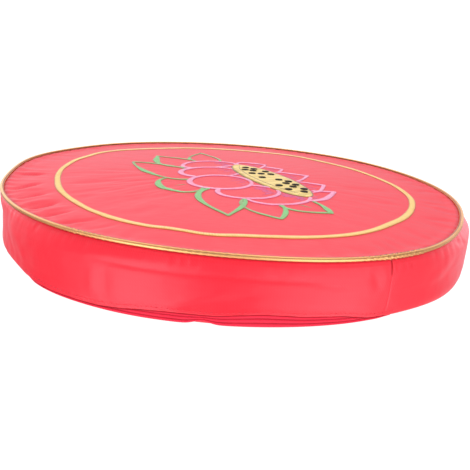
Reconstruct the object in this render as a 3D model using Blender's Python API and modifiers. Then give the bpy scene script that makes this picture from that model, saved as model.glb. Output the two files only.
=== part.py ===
"""Round box-edge floor cushion, lying flat on its base.

Metres, +Z up. The origin is on the floor under the middle of the cushion, and the zipped side of
the band faces -Y. The cushion is one filled body: foam in a satin cover, with a low crown, a band
that is drawn in at both of its seams, and a channel in which the piping cord is sewn. The cord,
the closed zip in the foot of the band and the satin-stitch ring on the top panel are pieces of
their own, a sewing gap away from the body.
"""

import math
from collections import namedtuple

import bmesh
import bpy
import numpy as np

MM = 0.001

# Overall sizes
PIPING_RADIUS = 200 * MM          # middle of the cushion to the middle of the piping cord
PIPING_HEIGHT = 47 * MM           # floor to the middle of the piping cord
PIPING_DIAMETER = 4 * MM
CROWN_HEIGHT = 51.5 * MM          # floor to the middle of the top panel
CROWN_FALL = 5.8 * MM             # drop of the top panel from its middle to its seam
SEWING_GAP = 0.3 * MM             # clearance between the body and what is sewn to it

# Top panel
PANEL_EDGE = 193 * MM             # where the panel turns down into the piping seam
PANEL_RINGS = 9

# Channel that holds the piping, as bearings round the cord's own centre
CHANNEL_START = math.radians(212)
CHANNEL_END = math.radians(286)
CHANNEL_POINTS = 5

# Band
BAND_TOP = 44 * MM
BAND_FOOT = 3.2 * MM
BAND_SEAM_RADIUS = 200.8 * MM     # the band where its two seams draw it in
BAND_BULGE = 2.8 * MM             # how far the filling pushes it out between them
BAND_FULLNESS = 0.55              # below one, the bulge is a flat wall with round ends
BAND_POINTS = 9
BASE_EDGE_RADIUS = 198 * MM
BASE_EDGE_HEIGHT = 0.9 * MM
BASE_FLAT_RADIUS = 190 * MM

# Zip in the foot of the band
ZIP_START = math.radians(-122)
ZIP_END = math.radians(-56)
ZIP_TOP = 9.4 * MM
ZIP_FOOT = 1.3 * MM
ZIP_TOP_RADIUS = 202.8 * MM       # outer face of the tapes just under the band's fold
ZIP_FOOT_RADIUS = 200.8 * MM
ZIP_THICKNESS = 1.6 * MM
ZIP_RIBS = 3
ZIP_RIB_DEPTH = 0.7 * MM
ZIP_RIB_POINTS = 4
FOLD_DROP = 0.7 * MM              # height over which the band folds in behind the zip
LIP_PROUD = 0.7 * MM              # how far the band's folded lip stands out over the zip
LIP_RISE = 1.4 * MM               # from the top of the zip to the middle of that lip
LIP_SPREAD = 2.1 * MM
RECESS_RAMP = math.radians(4)

# Satin-stitch ring on the top panel
RING_RADIUS = 160 * MM
RING_WIDTH = 5.4 * MM
RING_THICKNESS = 0.9 * MM
RING_EDGE_SHARE = 0.4             # thickness at its two edges, as a share of the middle's
RING_POINTS = 4

# Facets
BODY_STEPS = 120
TRIM_STEPS = 120
ZIP_STEPS = 66
MERGE_DISTANCE = 0.01 * MM
SHARP_ANGLE = math.radians(50)

# The filling is uneven, so the edge wanders. Each row is one wave round the cushion: how much it
# lifts the edge (rise) and how much it pushes the outline out (reach). The one-lobed row keeps the
# middle of the whole outline over the origin.
Wave = namedtuple("Wave", "lobes rise_cos rise_sin reach_cos reach_sin")
WAVES = (
    Wave(lobes=1, rise_cos=0.0, rise_sin=0.0, reach_cos=-2.0 * MM, reach_sin=1.4 * MM),
    Wave(lobes=2, rise_cos=-0.3 * MM, rise_sin=0.7 * MM, reach_cos=-1.5 * MM, reach_sin=-2.5 * MM),
    Wave(lobes=3, rise_cos=0.0, rise_sin=1.6 * MM, reach_cos=-0.9 * MM, reach_sin=1.0 * MM),
    Wave(lobes=4, rise_cos=0.7 * MM, rise_sin=0.1 * MM, reach_cos=0.0, reach_sin=0.0),
)

# Places where the band leaves its even bulge, by bearing from +X towards +Y. A swell pushes it out
# below the piping, and a tuck lifts its foot off the floor.
Place = namedtuple("Place", "bearing spread amount")
SWELLS = (
    Place(bearing=math.radians(-10), spread=math.radians(28), amount=6.5 * MM),
    Place(bearing=math.radians(-122), spread=math.radians(23), amount=5.5 * MM),
)
TUCKS = (
    Place(bearing=math.radians(-86), spread=math.radians(32), amount=3.5 * MM),
)
SWELL_START = 44.5 * MM           # height under which a swell begins
SWELL_EASE = 10 * MM              # height over which it grows to its full amount
TUCK_REACH = 25 * MM              # height at which a tuck has died away

Finish = namedtuple("Finish", "name color roughness metallic")
RED_SATIN = Finish("red_satin", color=(0.85, 0.04, 0.07, 1.0), roughness=0.45, metallic=0.0)
GOLD_LAME = Finish("gold_lame", color=(0.72, 0.45, 0.16, 1.0), roughness=0.35, metallic=0.6)
ZIP_TAPE = Finish("red_zip_tape", color=(0.70, 0.03, 0.05, 1.0), roughness=0.6, metallic=0.0)
GOLD_THREAD = Finish("gold_thread", color=(0.95, 0.72, 0.30, 1.0), roughness=0.4, metallic=0.1)


def smooth_step(value):
    """Ease from 0 to 1 as the value goes from 0 to 1."""
    t = np.clip(value, 0.0, 1.0)
    return t * t * (3.0 - 2.0 * t)


def crown(radius):
    """Height of the unsettled top panel: a shallow bowl upside down."""
    return CROWN_HEIGHT - CROWN_FALL * (radius / PIPING_RADIUS) ** 2


def wave_sum(bearing, part):
    """Add up the waves' rise or reach at bearings round the cushion."""
    total = np.zeros_like(bearing)
    for wave in WAVES:
        total += getattr(wave, part + "_cos") * np.cos(wave.lobes * bearing)
        total += getattr(wave, part + "_sin") * np.sin(wave.lobes * bearing)
    return total


def place_sum(bearing, places):
    """Add up the swells or tucks at bearings round the cushion, each a bell about its middle."""
    total = np.zeros_like(bearing)
    for place in places:
        away = np.remainder(bearing - place.bearing + math.pi, 2 * math.pi) - math.pi
        total += place.amount * np.exp(-(away / place.spread) ** 2)
    return total


def settle(points):
    """Move points of the true turned shape to where the uneven filling holds them.

    The outline grows with the distance from the middle. The lift grows with that distance and
    with the height above the floor, so the middle of the crown and the flat of the base stay put.
    """
    bearing = np.arctan2(points[:, 1], points[:, 0])
    radius = np.hypot(points[:, 0], points[:, 1])
    height = points[:, 2]
    share = radius / PIPING_RADIUS
    below = smooth_step((SWELL_START - height) / SWELL_EASE)
    reach = wave_sum(bearing, "reach") * share
    swell = place_sum(bearing, SWELLS) * below * share ** 2
    lift = wave_sum(bearing, "rise") * share ** 2 * height / PIPING_HEIGHT
    hem = np.clip(1.0 - height / TUCK_REACH, 0.0, 1.0) * (height > 0.0)
    tuck = place_sum(bearing, TUCKS) * hem
    new_radius = radius + reach + swell
    return np.column_stack((new_radius * np.cos(bearing), new_radius * np.sin(bearing),
                            height + lift + tuck))


def recess_for_zip(points):
    """Press the foot of the band in behind the zip and push its folded lip out over it."""
    bearing = np.arctan2(points[:, 1], points[:, 0])
    radius = np.hypot(points[:, 0], points[:, 1])
    height = points[:, 2]
    inside = np.minimum(bearing - ZIP_START, ZIP_END - bearing)
    along = smooth_step(inside / RECESS_RAMP + 1.0)
    slope = (ZIP_TOP_RADIUS - ZIP_FOOT_RADIUS) / (ZIP_TOP - ZIP_FOOT)
    wall = ZIP_FOOT_RADIUS + slope * (height - ZIP_FOOT) - ZIP_THICKNESS - SEWING_GAP
    behind = height < ZIP_TOP + SEWING_GAP + FOLD_DROP / 2
    pressed = np.where(behind, np.minimum(radius, wall), radius)
    lip = np.exp(-((height - ZIP_TOP - LIP_RISE) / LIP_SPREAD) ** 2)
    on_band = radius > BASE_FLAT_RADIUS
    pressed = np.where(~behind & on_band, radius + LIP_PROUD * lip, pressed)
    new_radius = radius + along * (pressed - radius)
    return np.column_stack((new_radius * np.cos(bearing), new_radius * np.sin(bearing), height))


def body_profile():
    """Radius and height down the body's section, from the crown's middle to the base's."""
    points = []
    for radius in np.linspace(0.0, PANEL_EDGE, PANEL_RINGS):
        points.append((radius, crown(radius)))
    channel_radius = PIPING_DIAMETER / 2 + SEWING_GAP
    for turn in np.linspace(CHANNEL_START, CHANNEL_END, CHANNEL_POINTS):
        points.append((PIPING_RADIUS + channel_radius * math.cos(turn),
                       PIPING_HEIGHT + channel_radius * math.sin(turn)))
    heights = list(np.linspace(BAND_TOP, BAND_FOOT, BAND_POINTS))
    fold_foot = ZIP_TOP + SEWING_GAP
    heights += [fold_foot, fold_foot + FOLD_DROP]
    for height in sorted(heights, reverse=True):
        share = (BAND_TOP - height) / (BAND_TOP - BAND_FOOT)
        bulge = BAND_BULGE * math.sin(math.pi * share) ** BAND_FULLNESS if 0 < share < 1 else 0.0
        points.append((BAND_SEAM_RADIUS + bulge, height))
    points.append((BASE_EDGE_RADIUS, BASE_EDGE_HEIGHT))
    points.append((BASE_FLAT_RADIUS, 0.0))
    points.append((0.0, 0.0))
    return points


def zip_profile():
    """Section of the zip: a slanting strip whose outer face is three round ribs."""
    points = []
    steps = ZIP_RIBS * ZIP_RIB_POINTS
    for index in range(steps + 1):
        share = index / steps
        rib = abs(math.sin(math.pi * ZIP_RIBS * share))
        radius = ZIP_TOP_RADIUS + (ZIP_FOOT_RADIUS - ZIP_TOP_RADIUS) * share
        height = ZIP_TOP + (ZIP_FOOT - ZIP_TOP) * share
        points.append((radius - ZIP_RIB_DEPTH * (1.0 - rib), height))
    points.append((ZIP_FOOT_RADIUS - ZIP_THICKNESS, ZIP_FOOT))
    points.append((ZIP_TOP_RADIUS - ZIP_THICKNESS, ZIP_TOP))
    return points


def ring_profile():
    """Section of the satin-stitch ring: a flat back that follows the crown under a low dome."""
    points = []
    for index in range(RING_POINTS + 1):
        across = 1.0 - 2.0 * index / RING_POINTS
        radius = RING_RADIUS - RING_WIDTH / 2 * across
        round_share = (1.0 - RING_EDGE_SHARE) * math.sqrt(1.0 - across ** 2)
        dome = RING_THICKNESS * (RING_EDGE_SHARE + round_share)
        points.append((radius, crown(radius) + SEWING_GAP + dome))
    for side in (1.0, -1.0):
        radius = RING_RADIUS + RING_WIDTH / 2 * side
        points.append((radius, crown(radius) + SEWING_GAP))
    return points


def new_object(name, mesh, collection):
    """Put a mesh in the cushion's collection under its own name."""
    thing = bpy.data.objects.new(name, mesh)
    collection.objects.link(thing)
    return thing


def turned(name, profile, closed, start, end, steps, collection):
    """Turn a profile round +Z between two bearings and keep the result as a plain mesh."""
    mesh = bpy.data.meshes.new(name)
    points = [(radius * math.cos(start), radius * math.sin(start), height)
              for radius, height in profile]
    edges = [(index, index + 1) for index in range(len(points) - 1)]
    if closed:
        edges.append((len(points) - 1, 0))
    mesh.from_pydata(points, edges, [])
    thing = new_object(name, mesh, collection)
    screw = thing.modifiers.new("turn", "SCREW")
    screw.axis = "Z"
    screw.angle = end - start
    screw.steps = steps
    screw.render_steps = steps
    screw.use_merge_vertices = True
    screw.merge_threshold = MERGE_DISTANCE
    bpy.context.view_layer.update()
    evaluated = thing.evaluated_get(bpy.context.evaluated_depsgraph_get())
    thing.data = bpy.data.meshes.new_from_object(evaluated)
    thing.modifiers.clear()
    thing.data.name = name
    bpy.data.meshes.remove(mesh)
    return thing


def close_ends(thing):
    """Fill the two open ends of a profile that was turned part of the way round."""
    shape = bmesh.new()
    shape.from_mesh(thing.data)
    rim = [edge for edge in shape.edges if edge.is_boundary]
    bmesh.ops.holes_fill(shape, edges=rim, sides=0)
    bmesh.ops.recalc_face_normals(shape, faces=shape.faces)
    shape.to_mesh(thing.data)
    shape.free()


def reshape(thing, function):
    """Send every point of a mesh through a function of the whole array of points."""
    mesh = thing.data
    points = np.empty(len(mesh.vertices) * 3, dtype=np.float32)
    mesh.vertices.foreach_get("co", points)
    moved = function(points.reshape(-1, 3).astype(np.float64))
    mesh.vertices.foreach_set("co", moved.astype(np.float32).ravel())
    mesh.update()


def dress(thing, finish):
    """Give a piece its material and shade its round faces smooth."""
    material = bpy.data.materials.new(finish.name)
    material.use_nodes = True
    shader = material.node_tree.nodes["Principled BSDF"]
    shader.inputs["Base Color"].default_value = finish.color
    shader.inputs["Roughness"].default_value = finish.roughness
    shader.inputs["Metallic"].default_value = finish.metallic
    material.diffuse_color = finish.color
    thing.data.materials.clear()
    thing.data.materials.append(material)
    thing.data.shade_smooth()
    thing.data.set_sharp_from_angle(angle=SHARP_ANGLE)


def make_body(collection):
    """Foam and cover as one filled solid."""
    body = turned("cushion", body_profile(), False, 0.0, 2 * math.pi, BODY_STEPS, collection)
    reshape(body, recess_for_zip)
    reshape(body, settle)
    dress(body, RED_SATIN)
    return body


def make_piping(collection):
    """Covered cord that follows the settled top edge all the way round."""
    bearings = np.linspace(0.0, 2 * math.pi, TRIM_STEPS, endpoint=False)
    path = settle(np.column_stack((PIPING_RADIUS * np.cos(bearings),
                                   PIPING_RADIUS * np.sin(bearings),
                                   np.full(TRIM_STEPS, PIPING_HEIGHT))))
    curve = bpy.data.curves.new("piping_path", "CURVE")
    curve.dimensions = "3D"
    curve.bevel_depth = PIPING_DIAMETER / 2
    curve.bevel_resolution = 2
    spline = curve.splines.new("POLY")
    spline.points.add(TRIM_STEPS - 1)
    for point, place in zip(spline.points, path):
        point.co = (*place, 1.0)
    spline.use_cyclic_u = True
    drawn = bpy.data.objects.new("piping_path", curve)
    collection.objects.link(drawn)
    bpy.context.view_layer.update()
    evaluated = drawn.evaluated_get(bpy.context.evaluated_depsgraph_get())
    piping = new_object("piping", bpy.data.meshes.new_from_object(evaluated), collection)
    bpy.data.objects.remove(drawn)
    bpy.data.curves.remove(curve)
    dress(piping, GOLD_LAME)
    return piping


def make_zip(collection):
    """Closed zip with its two tapes and chain as three ribs, along the front foot of the band."""
    strip = turned("zip", zip_profile(), True, ZIP_START, ZIP_END, ZIP_STEPS, collection)
    close_ends(strip)
    reshape(strip, settle)
    dress(strip, ZIP_TAPE)
    return strip


def make_ring(collection):
    """Satin-stitch ring, raised on the top panel."""
    ring = turned("stitched_ring", ring_profile(), True, 0.0, 2 * math.pi, TRIM_STEPS, collection)
    reshape(ring, settle)
    dress(ring, GOLD_THREAD)
    return ring


def main():
    """Clear the file and build the cushion and its trim."""
    for thing in list(bpy.data.objects):
        bpy.data.objects.remove(thing)
    collection = bpy.data.collections.new("round_cushion")
    bpy.context.scene.collection.children.link(collection)
    make_body(collection)
    make_piping(collection)
    make_zip(collection)
    make_ring(collection)


main()
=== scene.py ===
"""Looks of a round box-edge meditation cushion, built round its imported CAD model.

Metres, +Z up, the origin on the floor under the middle of the cushion, the zipped side towards -Y.
Bearings run from +X towards +Y. The filling, the cover, the piping, the zip, the fold's stitches,
the stitched ring and the stitched lotus are each a class, whose fields are its sizes. Everything
that is sewn on asks the finished cover where its cloth lies, so it follows each fold.
"""

import logging
import math
from collections.abc import Callable
from dataclasses import dataclass
from enum import Enum
from functools import partial

import bpy
import numpy as np
from mathutils import Matrix
from numpy.typing import NDArray


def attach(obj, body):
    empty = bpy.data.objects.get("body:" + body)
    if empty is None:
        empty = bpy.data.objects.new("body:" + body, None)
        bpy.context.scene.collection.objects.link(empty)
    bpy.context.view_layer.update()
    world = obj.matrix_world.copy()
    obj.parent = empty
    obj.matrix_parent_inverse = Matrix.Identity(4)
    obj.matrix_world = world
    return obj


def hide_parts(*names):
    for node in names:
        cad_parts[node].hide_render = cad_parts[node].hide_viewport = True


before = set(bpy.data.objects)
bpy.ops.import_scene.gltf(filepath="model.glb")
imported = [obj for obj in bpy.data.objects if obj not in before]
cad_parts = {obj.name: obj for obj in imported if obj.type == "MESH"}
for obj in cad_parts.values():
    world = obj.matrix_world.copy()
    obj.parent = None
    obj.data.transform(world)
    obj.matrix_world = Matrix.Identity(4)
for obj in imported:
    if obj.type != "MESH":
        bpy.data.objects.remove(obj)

Pair = tuple[float, float]
Array = NDArray[np.float64]
Numbers = NDArray[np.int64]
Marks = NDArray[np.bool_]
Object, Material = bpy.types.Object, bpy.types.Material
Tree, Node, Socket = bpy.types.NodeTree, bpy.types.Node, bpy.types.NodeSocket
Adder = Callable[..., Node]  # adds a node to one tree

MM = 0.001
TURN = 2.0 * math.pi
WAVE_PERIOD = TURN / 20.0  # length of one band of Blender's Wave texture at scale 1
BAND_RADIUS = 203 * MM  # at which the band is laid out flat

log = logging.getLogger("cushion")


def smooth_step(value: Array) -> Array:
    """Ease from 0 to 1 as the value goes from 0 to 1."""
    t = np.clip(value, 0.0, 1.0)
    return t * t * (3.0 - 2.0 * t)


def bell(value: Array) -> Array:
    """Gaussian bell, 1 at nought and a third at one."""
    return np.exp(-value * value)


def wrapped(angle: Array) -> Array:
    """Angle brought between minus half a turn and half a turn."""
    return np.remainder(angle + math.pi, TURN) - math.pi


def through(places: Array, values: Array, at: Array) -> Array:
    """Draw a smooth closed curve round a turn through the given places.

    Between two places it is the cubic whose slope at each is that of its neighbours.

    Args:
        places: Rising angles within one turn.
        values: Value at each.
        at: Angles to read.

    Returns:
        Value at each of those.
    """
    x = np.concatenate((places[-2:] - TURN, places, places[:3] + TURN))
    y = np.concatenate((values[-2:], values, values[:3]))
    slope = np.gradient(y, x)
    at = places[0] + np.remainder(at - places[0], TURN)
    left = np.clip(np.searchsorted(x, at, side="right") - 1, 0, len(x) - 2)
    gap = x[left + 1] - x[left]
    t = (at - x[left]) / gap
    near = (2 * t ** 3 - 3 * t ** 2 + 1) * y[left] + (t ** 3 - 2 * t ** 2 + t) * gap * slope[left]
    far = (3 * t ** 2 - 2 * t ** 3) * y[left + 1] + (t ** 3 - t ** 2) * gap * slope[left + 1]
    return near + far


def linear(colour: str) -> tuple[float, float, float, float]:
    """Turn an sRGB hex colour to linear light.

    Args:
        colour: Six hex digits, with or without a leading hash.

    Returns:
        Linear red, green, blue and an alpha of one.
    """
    digits = colour.lstrip("#")
    values = [int(digits[place:place + 2], 16) / 255.0 for place in (0, 2, 4)]
    red, green, blue = (v / 12.92 if v <= 0.04045 else ((v + 0.055) / 1.055) ** 2.4 for v in values)
    return red, green, blue, 1.0


@dataclass
class Patch:
    """One closed surface: a grid of points whose columns go round it, and what is painted on it."""

    points: Array  # rows, columns, 3
    uv: Array  # rows (and one more if closed along), columns + 1, 2; in metres
    tone: Array  # rows, columns; 0 to 1, read by the finishes; painted shade lowers it in places
    closed_along: bool = False

    def faces(self) -> tuple[Numbers, Numbers, Array, Array]:
        """Number the corners of the quads of the grid and of the fans that close its two ends.

        Returns:
            Quads, triangles, and the UVs of the corners of each.
        """
        rows, columns = self.points.shape[:2]
        steps = rows if self.closed_along else rows - 1
        i, j = np.meshgrid(np.arange(steps), np.arange(columns), indexing="ij")
        down = np.stack((i, i, i + 1, i + 1), -1).reshape(-1, 4)
        along = np.stack((j, j + 1, j + 1, j), -1).reshape(-1, 4)
        quads = (down % rows) * columns + along % columns
        quad_uv = self.uv[down, along]
        if self.closed_along:
            return quads, np.empty((0, 3), np.int64), quad_uv, np.empty((0, 3, 2))
        j = np.arange(columns)
        near = np.stack((np.full(columns, rows * columns), (j + 1) % columns, j), -1)
        last = (rows - 1) * columns
        far = np.stack((np.full(columns, rows * columns + 1), last + j, last + (j + 1) % columns), -1)
        middle = self.uv[[0, -1], :-1].mean(axis=1)
        near_middle, far_middle = (np.broadcast_to(one, (columns, 2)) for one in middle)
        near_uv = np.stack((near_middle, self.uv[0, 1:], self.uv[0, :-1]), 1)
        far_uv = np.stack((far_middle, self.uv[-1, :-1], self.uv[-1, 1:]), 1)
        return quads, np.vstack((near, far)), quad_uv, np.vstack((near_uv, far_uv))

    def vertices(self) -> tuple[Array, Array]:
        """Points and tones row by row, and after them the middles of two open ends."""
        flat, tones = self.points.reshape(-1, 3), self.tone.ravel()
        if self.closed_along:
            return flat, tones
        ends = self.points[[0, -1]].mean(axis=1)
        return np.vstack((flat, ends)), np.concatenate((tones, self.tone[[0, -1]].mean(axis=1)))


def turned_outwards(points: Array, quads: Numbers, triangles: Numbers) -> bool:
    """Tell whether a closed surface faces outwards, from the sign of the volume that it holds."""
    split = np.vstack((quads[:, [0, 1, 2]], quads[:, [0, 2, 3]], triangles))
    a, b, c = (points[split[:, corner]] for corner in range(3))
    return float(np.einsum("ij,ij->i", a, np.cross(b, c)).sum()) > 0.0


def new_object(name: str, data: bpy.types.ID) -> Object:
    """Make an object of some data, at the origin, and put it in the scene."""
    made = bpy.data.objects.new(name, data)
    bpy.context.scene.collection.objects.link(made)
    return made


def make_piece(name: str, patches: list[Patch], material: Material,
               replaces: tuple[str, ...] = ()) -> Object:
    """Make one mesh object of closed patches, dress it and let it ride on the cushion.

    Args:
        name: Name of the piece.
        patches: Its surfaces.
        material: Its finish.
        replaces: CAD nodes whose place it takes.

    Returns:
        The new object, at the origin, unturned and unscaled.
    """
    places, tones, faces, corners, first = [], [], [], [], 0
    for patch in patches:
        points, tone = patch.vertices()
        quads, triangles, quad_uv, triangle_uv = patch.faces()
        if not turned_outwards(points - points.mean(axis=0), quads, triangles):
            quads, quad_uv = quads[:, ::-1], quad_uv[:, ::-1]
            triangles, triangle_uv = triangles[:, ::-1], triangle_uv[:, ::-1]
        places.append(points)
        tones.append(tone)
        faces += (quads + first).tolist() + (triangles + first).tolist()
        corners += [quad_uv.reshape(-1, 2), triangle_uv.reshape(-1, 2)]
        first += len(points)
    mesh = bpy.data.meshes.new(name)
    mesh.from_pydata(np.vstack(places).tolist(), [], faces)
    layer = mesh.uv_layers.new(name="cloth")
    layer.uv.foreach_set("vector", np.vstack(corners).astype(np.float32).ravel())
    tone_layer = mesh.attributes.new("tone", "FLOAT", "POINT")
    tone_layer.data.foreach_set("value", np.concatenate(tones).astype(np.float32))
    mesh.materials.append(material)
    mesh.shade_smooth()
    mesh.update()
    piece = new_object(name, mesh)
    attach(piece, "root")
    if replaces:
        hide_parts(*replaces)
    log.info("%s: %d patches, %d faces", name, len(patches), len(faces))
    return piece


@dataclass(frozen=True)
class Wave:
    """One wave of the edge round the cushion: how far it lifts it and pushes it out."""

    lobes: int
    rise_cos: float = 0.0
    rise_sin: float = 0.0
    reach_cos: float = 0.0
    reach_sin: float = 0.0


@dataclass(frozen=True)
class Place:
    """A bell-shaped change about one bearing, below a height above the floor."""

    bearing: float  # degrees
    spread: float  # degrees
    amount: float
    height: float = 44.5 * MM
    ease: float = 10 * MM  # how far below that height it comes to its full amount

    def share(self, bearing: Array) -> Array:
        """Amount of the change at bearings round the cushion."""
        away = wrapped(bearing - math.radians(self.bearing))
        return self.amount * bell(away / math.radians(self.spread))


@dataclass(frozen=True)
class Filling:
    """The foam and how its uneven edge holds the cover. The sizes are the CAD model's."""

    piping_radius: float = 200 * MM
    piping_height: float = 47 * MM
    crown_height: float = 51.5 * MM
    crown_fall: float = 5.8 * MM
    waves: tuple[Wave, ...] = (
        Wave(lobes=1, reach_cos=-2.0 * MM, reach_sin=1.4 * MM),
        Wave(lobes=2, rise_cos=-0.3 * MM, rise_sin=0.7 * MM, reach_cos=-1.5 * MM, reach_sin=-2.5 * MM),
        Wave(lobes=3, rise_sin=1.6 * MM, reach_cos=-0.9 * MM, reach_sin=1.0 * MM),
        Wave(lobes=4, rise_cos=0.7 * MM, rise_sin=0.1 * MM),
    )
    pulls: tuple[Place, ...] = (  # where the whole edge stands out or in: bearing, spread, how far
        Place(-3, 17, 3.6 * MM),
        Place(30, 15, -2.1 * MM),
        Place(-174, 12, -2.4 * MM),
        Place(-150, 14, 1.1 * MM),
        Place(152, 16, -4.7 * MM),
    )
    swells: tuple[Place, ...] = (  # where the band stands out or in
        Place(-10, 28, 5.3 * MM),
        Place(-122, 23, 4.3 * MM),
        Place(-163, 18, -4.2 * MM, ease=14 * MM),
        Place(-149, 9, 0.9 * MM, height=22 * MM, ease=16 * MM),
        Place(-128, 9, 2.1 * MM, height=14 * MM, ease=12 * MM),
        Place(-38, 16, 2.8 * MM, height=22 * MM, ease=16 * MM),
    )
    tucks: tuple[Place, ...] = (  # where its foot is lifted
        Place(-140, 12, 2.1 * MM, height=25 * MM),
        Place(-80, 28, 3.4 * MM, height=25 * MM),
        Place(-54, 12, 1.2 * MM, height=25 * MM),
        Place(-93.4, 1.9, 3.0 * MM, height=8 * MM),
    )

    def crown(self, radius: Array) -> Array:
        """Height of the top panel before it settles: a shallow bowl upside down."""
        return self.crown_height - self.crown_fall * (radius / self.piping_radius) ** 2

    def settle(self, radius: Array, bearing: Array, height: Array) -> Array:
        """Move places of the true turned shape to where the uneven filling holds them.

        The outline grows with the distance from the middle, and the lift with that distance
        squared and with the height. Swells push the band out, and tucks lift its foot.

        Args:
            radius: Distance from the middle.
            bearing: Angle from +X towards +Y.
            height: Height above the floor.

        Returns:
            Points, with one more axis than the arguments.
        """
        share = radius / self.piping_radius
        reach = np.zeros_like(share)
        lift = np.zeros_like(share)
        for wave in self.waves:
            cosine, sine = np.cos(wave.lobes * bearing), np.sin(wave.lobes * bearing)
            reach = reach + (wave.reach_cos * cosine + wave.reach_sin * sine) * share
            rise = wave.rise_cos * cosine + wave.rise_sin * sine
            lift = lift + rise * share ** 2 * height / self.piping_height
        reach = reach + sum(place.share(bearing) for place in self.pulls) * share ** 2
        swell = sum(place.share(bearing) * smooth_step((place.height - height) / place.ease)
                    for place in self.swells) * share ** 2
        tuck = sum(place.share(bearing) * np.clip(1.0 - height / place.height, 0.0, 1.0)
                   for place in self.tucks) * (height > 0.0)
        settled = radius + reach + swell
        return np.stack((settled * np.cos(bearing), settled * np.sin(bearing), height + lift + tuck), -1)


@dataclass(frozen=True)
class Crease:
    """One fold line in the cloth: sunk where its depth is above nought and raised where it is below."""

    start: Pair  # bearing in degrees; radius on the panel or height on the band, in mm
    end: Pair
    depth: float  # mm
    width: float  # mm, from its middle to a third of its depth
    fade: float = 0.35  # share of its length over which each end dies away


class Ground(Enum):
    """Flat surface on which a fold line is drawn."""

    PANEL = "panel"
    BAND = "band"


@dataclass(frozen=True)
class Puckers:
    """Short folds that start at the piping seam, where one edge was eased into the other."""

    ground: Ground
    seam: float  # radius or height of the seam, mm
    into: float  # 1 where that grows away from the seam, -1 where it shrinks
    count: int
    depth: float  # mm, of the deepest
    seed: int
    crowded: Pair = (-150.0, -60.0)  # bearings between which most of them lie
    behind: float = 4.0  # mm, how far beyond the seam they start
    lengths: Pair = (5.0, 12.0)  # mm
    slant: float = 1.1  # degrees, how far their ends stray sideways
    shallowest: float = 0.3  # share of the depth
    widths: Pair = (0.9, 1.7)  # mm
    fade: float = 0.45

    def creases(self) -> tuple[Crease, ...]:
        """Scatter the folds: two in three in the crowded part, each with its own slant and length."""
        chance = np.random.default_rng(self.seed)
        folds = []
        for number in range(self.count):
            bearing = chance.uniform(*self.crowded) if number % 3 else chance.uniform(-180.0, 180.0)
            length = chance.uniform(*self.lengths)
            slant = chance.normal(0.0, self.slant)
            start = (bearing, self.seam - self.into * self.behind)
            end = (bearing + slant, self.seam + self.into * length)
            depth = self.depth * chance.uniform(self.shallowest, 1.0)
            folds.append(Crease(start, end, depth, chance.uniform(*self.widths), self.fade))
        return tuple(folds)


def flat_place(ground: Ground, bearing: Array, along: Array) -> Array:
    """Lay the panel or the band out flat, in metres.

    Args:
        ground: The surface.
        bearing: Angle in radians.
        along: Radius on the panel, height on the band.

    Returns:
        Plan places on the panel, and arc length and height on the band.
    """
    if ground is Ground.PANEL:
        return np.stack((along * np.cos(bearing), along * np.sin(bearing)), -1)
    return np.stack((bearing * BAND_RADIUS, along), -1)


def crease_depth(ground: Ground, bearing: Array, along: Array, creases: tuple[Crease, ...]) -> Array:
    """Add up how deep fold lines press the cloth in.

    Each is a bell across the straight line between its ends, and eases to nothing at both of them.

    Args:
        ground: The surface that the lines are on.
        bearing: Angle in radians of each point.
        along: Radius or height of each point.
        creases: The fold lines.

    Returns:
        Depth in metres, below nought where the cloth stands up.
    """
    total = np.zeros(np.broadcast(bearing, along).shape)
    for crease in creases:
        first = math.radians(crease.start[0])
        places = flat_place(ground, wrapped(bearing - first), along)
        ends = [flat_place(ground, np.array(math.radians(end[0]) - first), np.array(end[1] * MM))
                for end in (crease.start, crease.end)]
        line = ends[1] - ends[0]
        length = float(np.hypot(*line))
        away = places - ends[0]
        share = (away @ line) / length ** 2
        across = (away[..., 0] * line[1] - away[..., 1] * line[0]) / length
        window = smooth_step(share / crease.fade) * smooth_step((1.0 - share) / crease.fade)
        total += crease.depth * MM * window * bell(across / (crease.width * MM))
    return total


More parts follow.
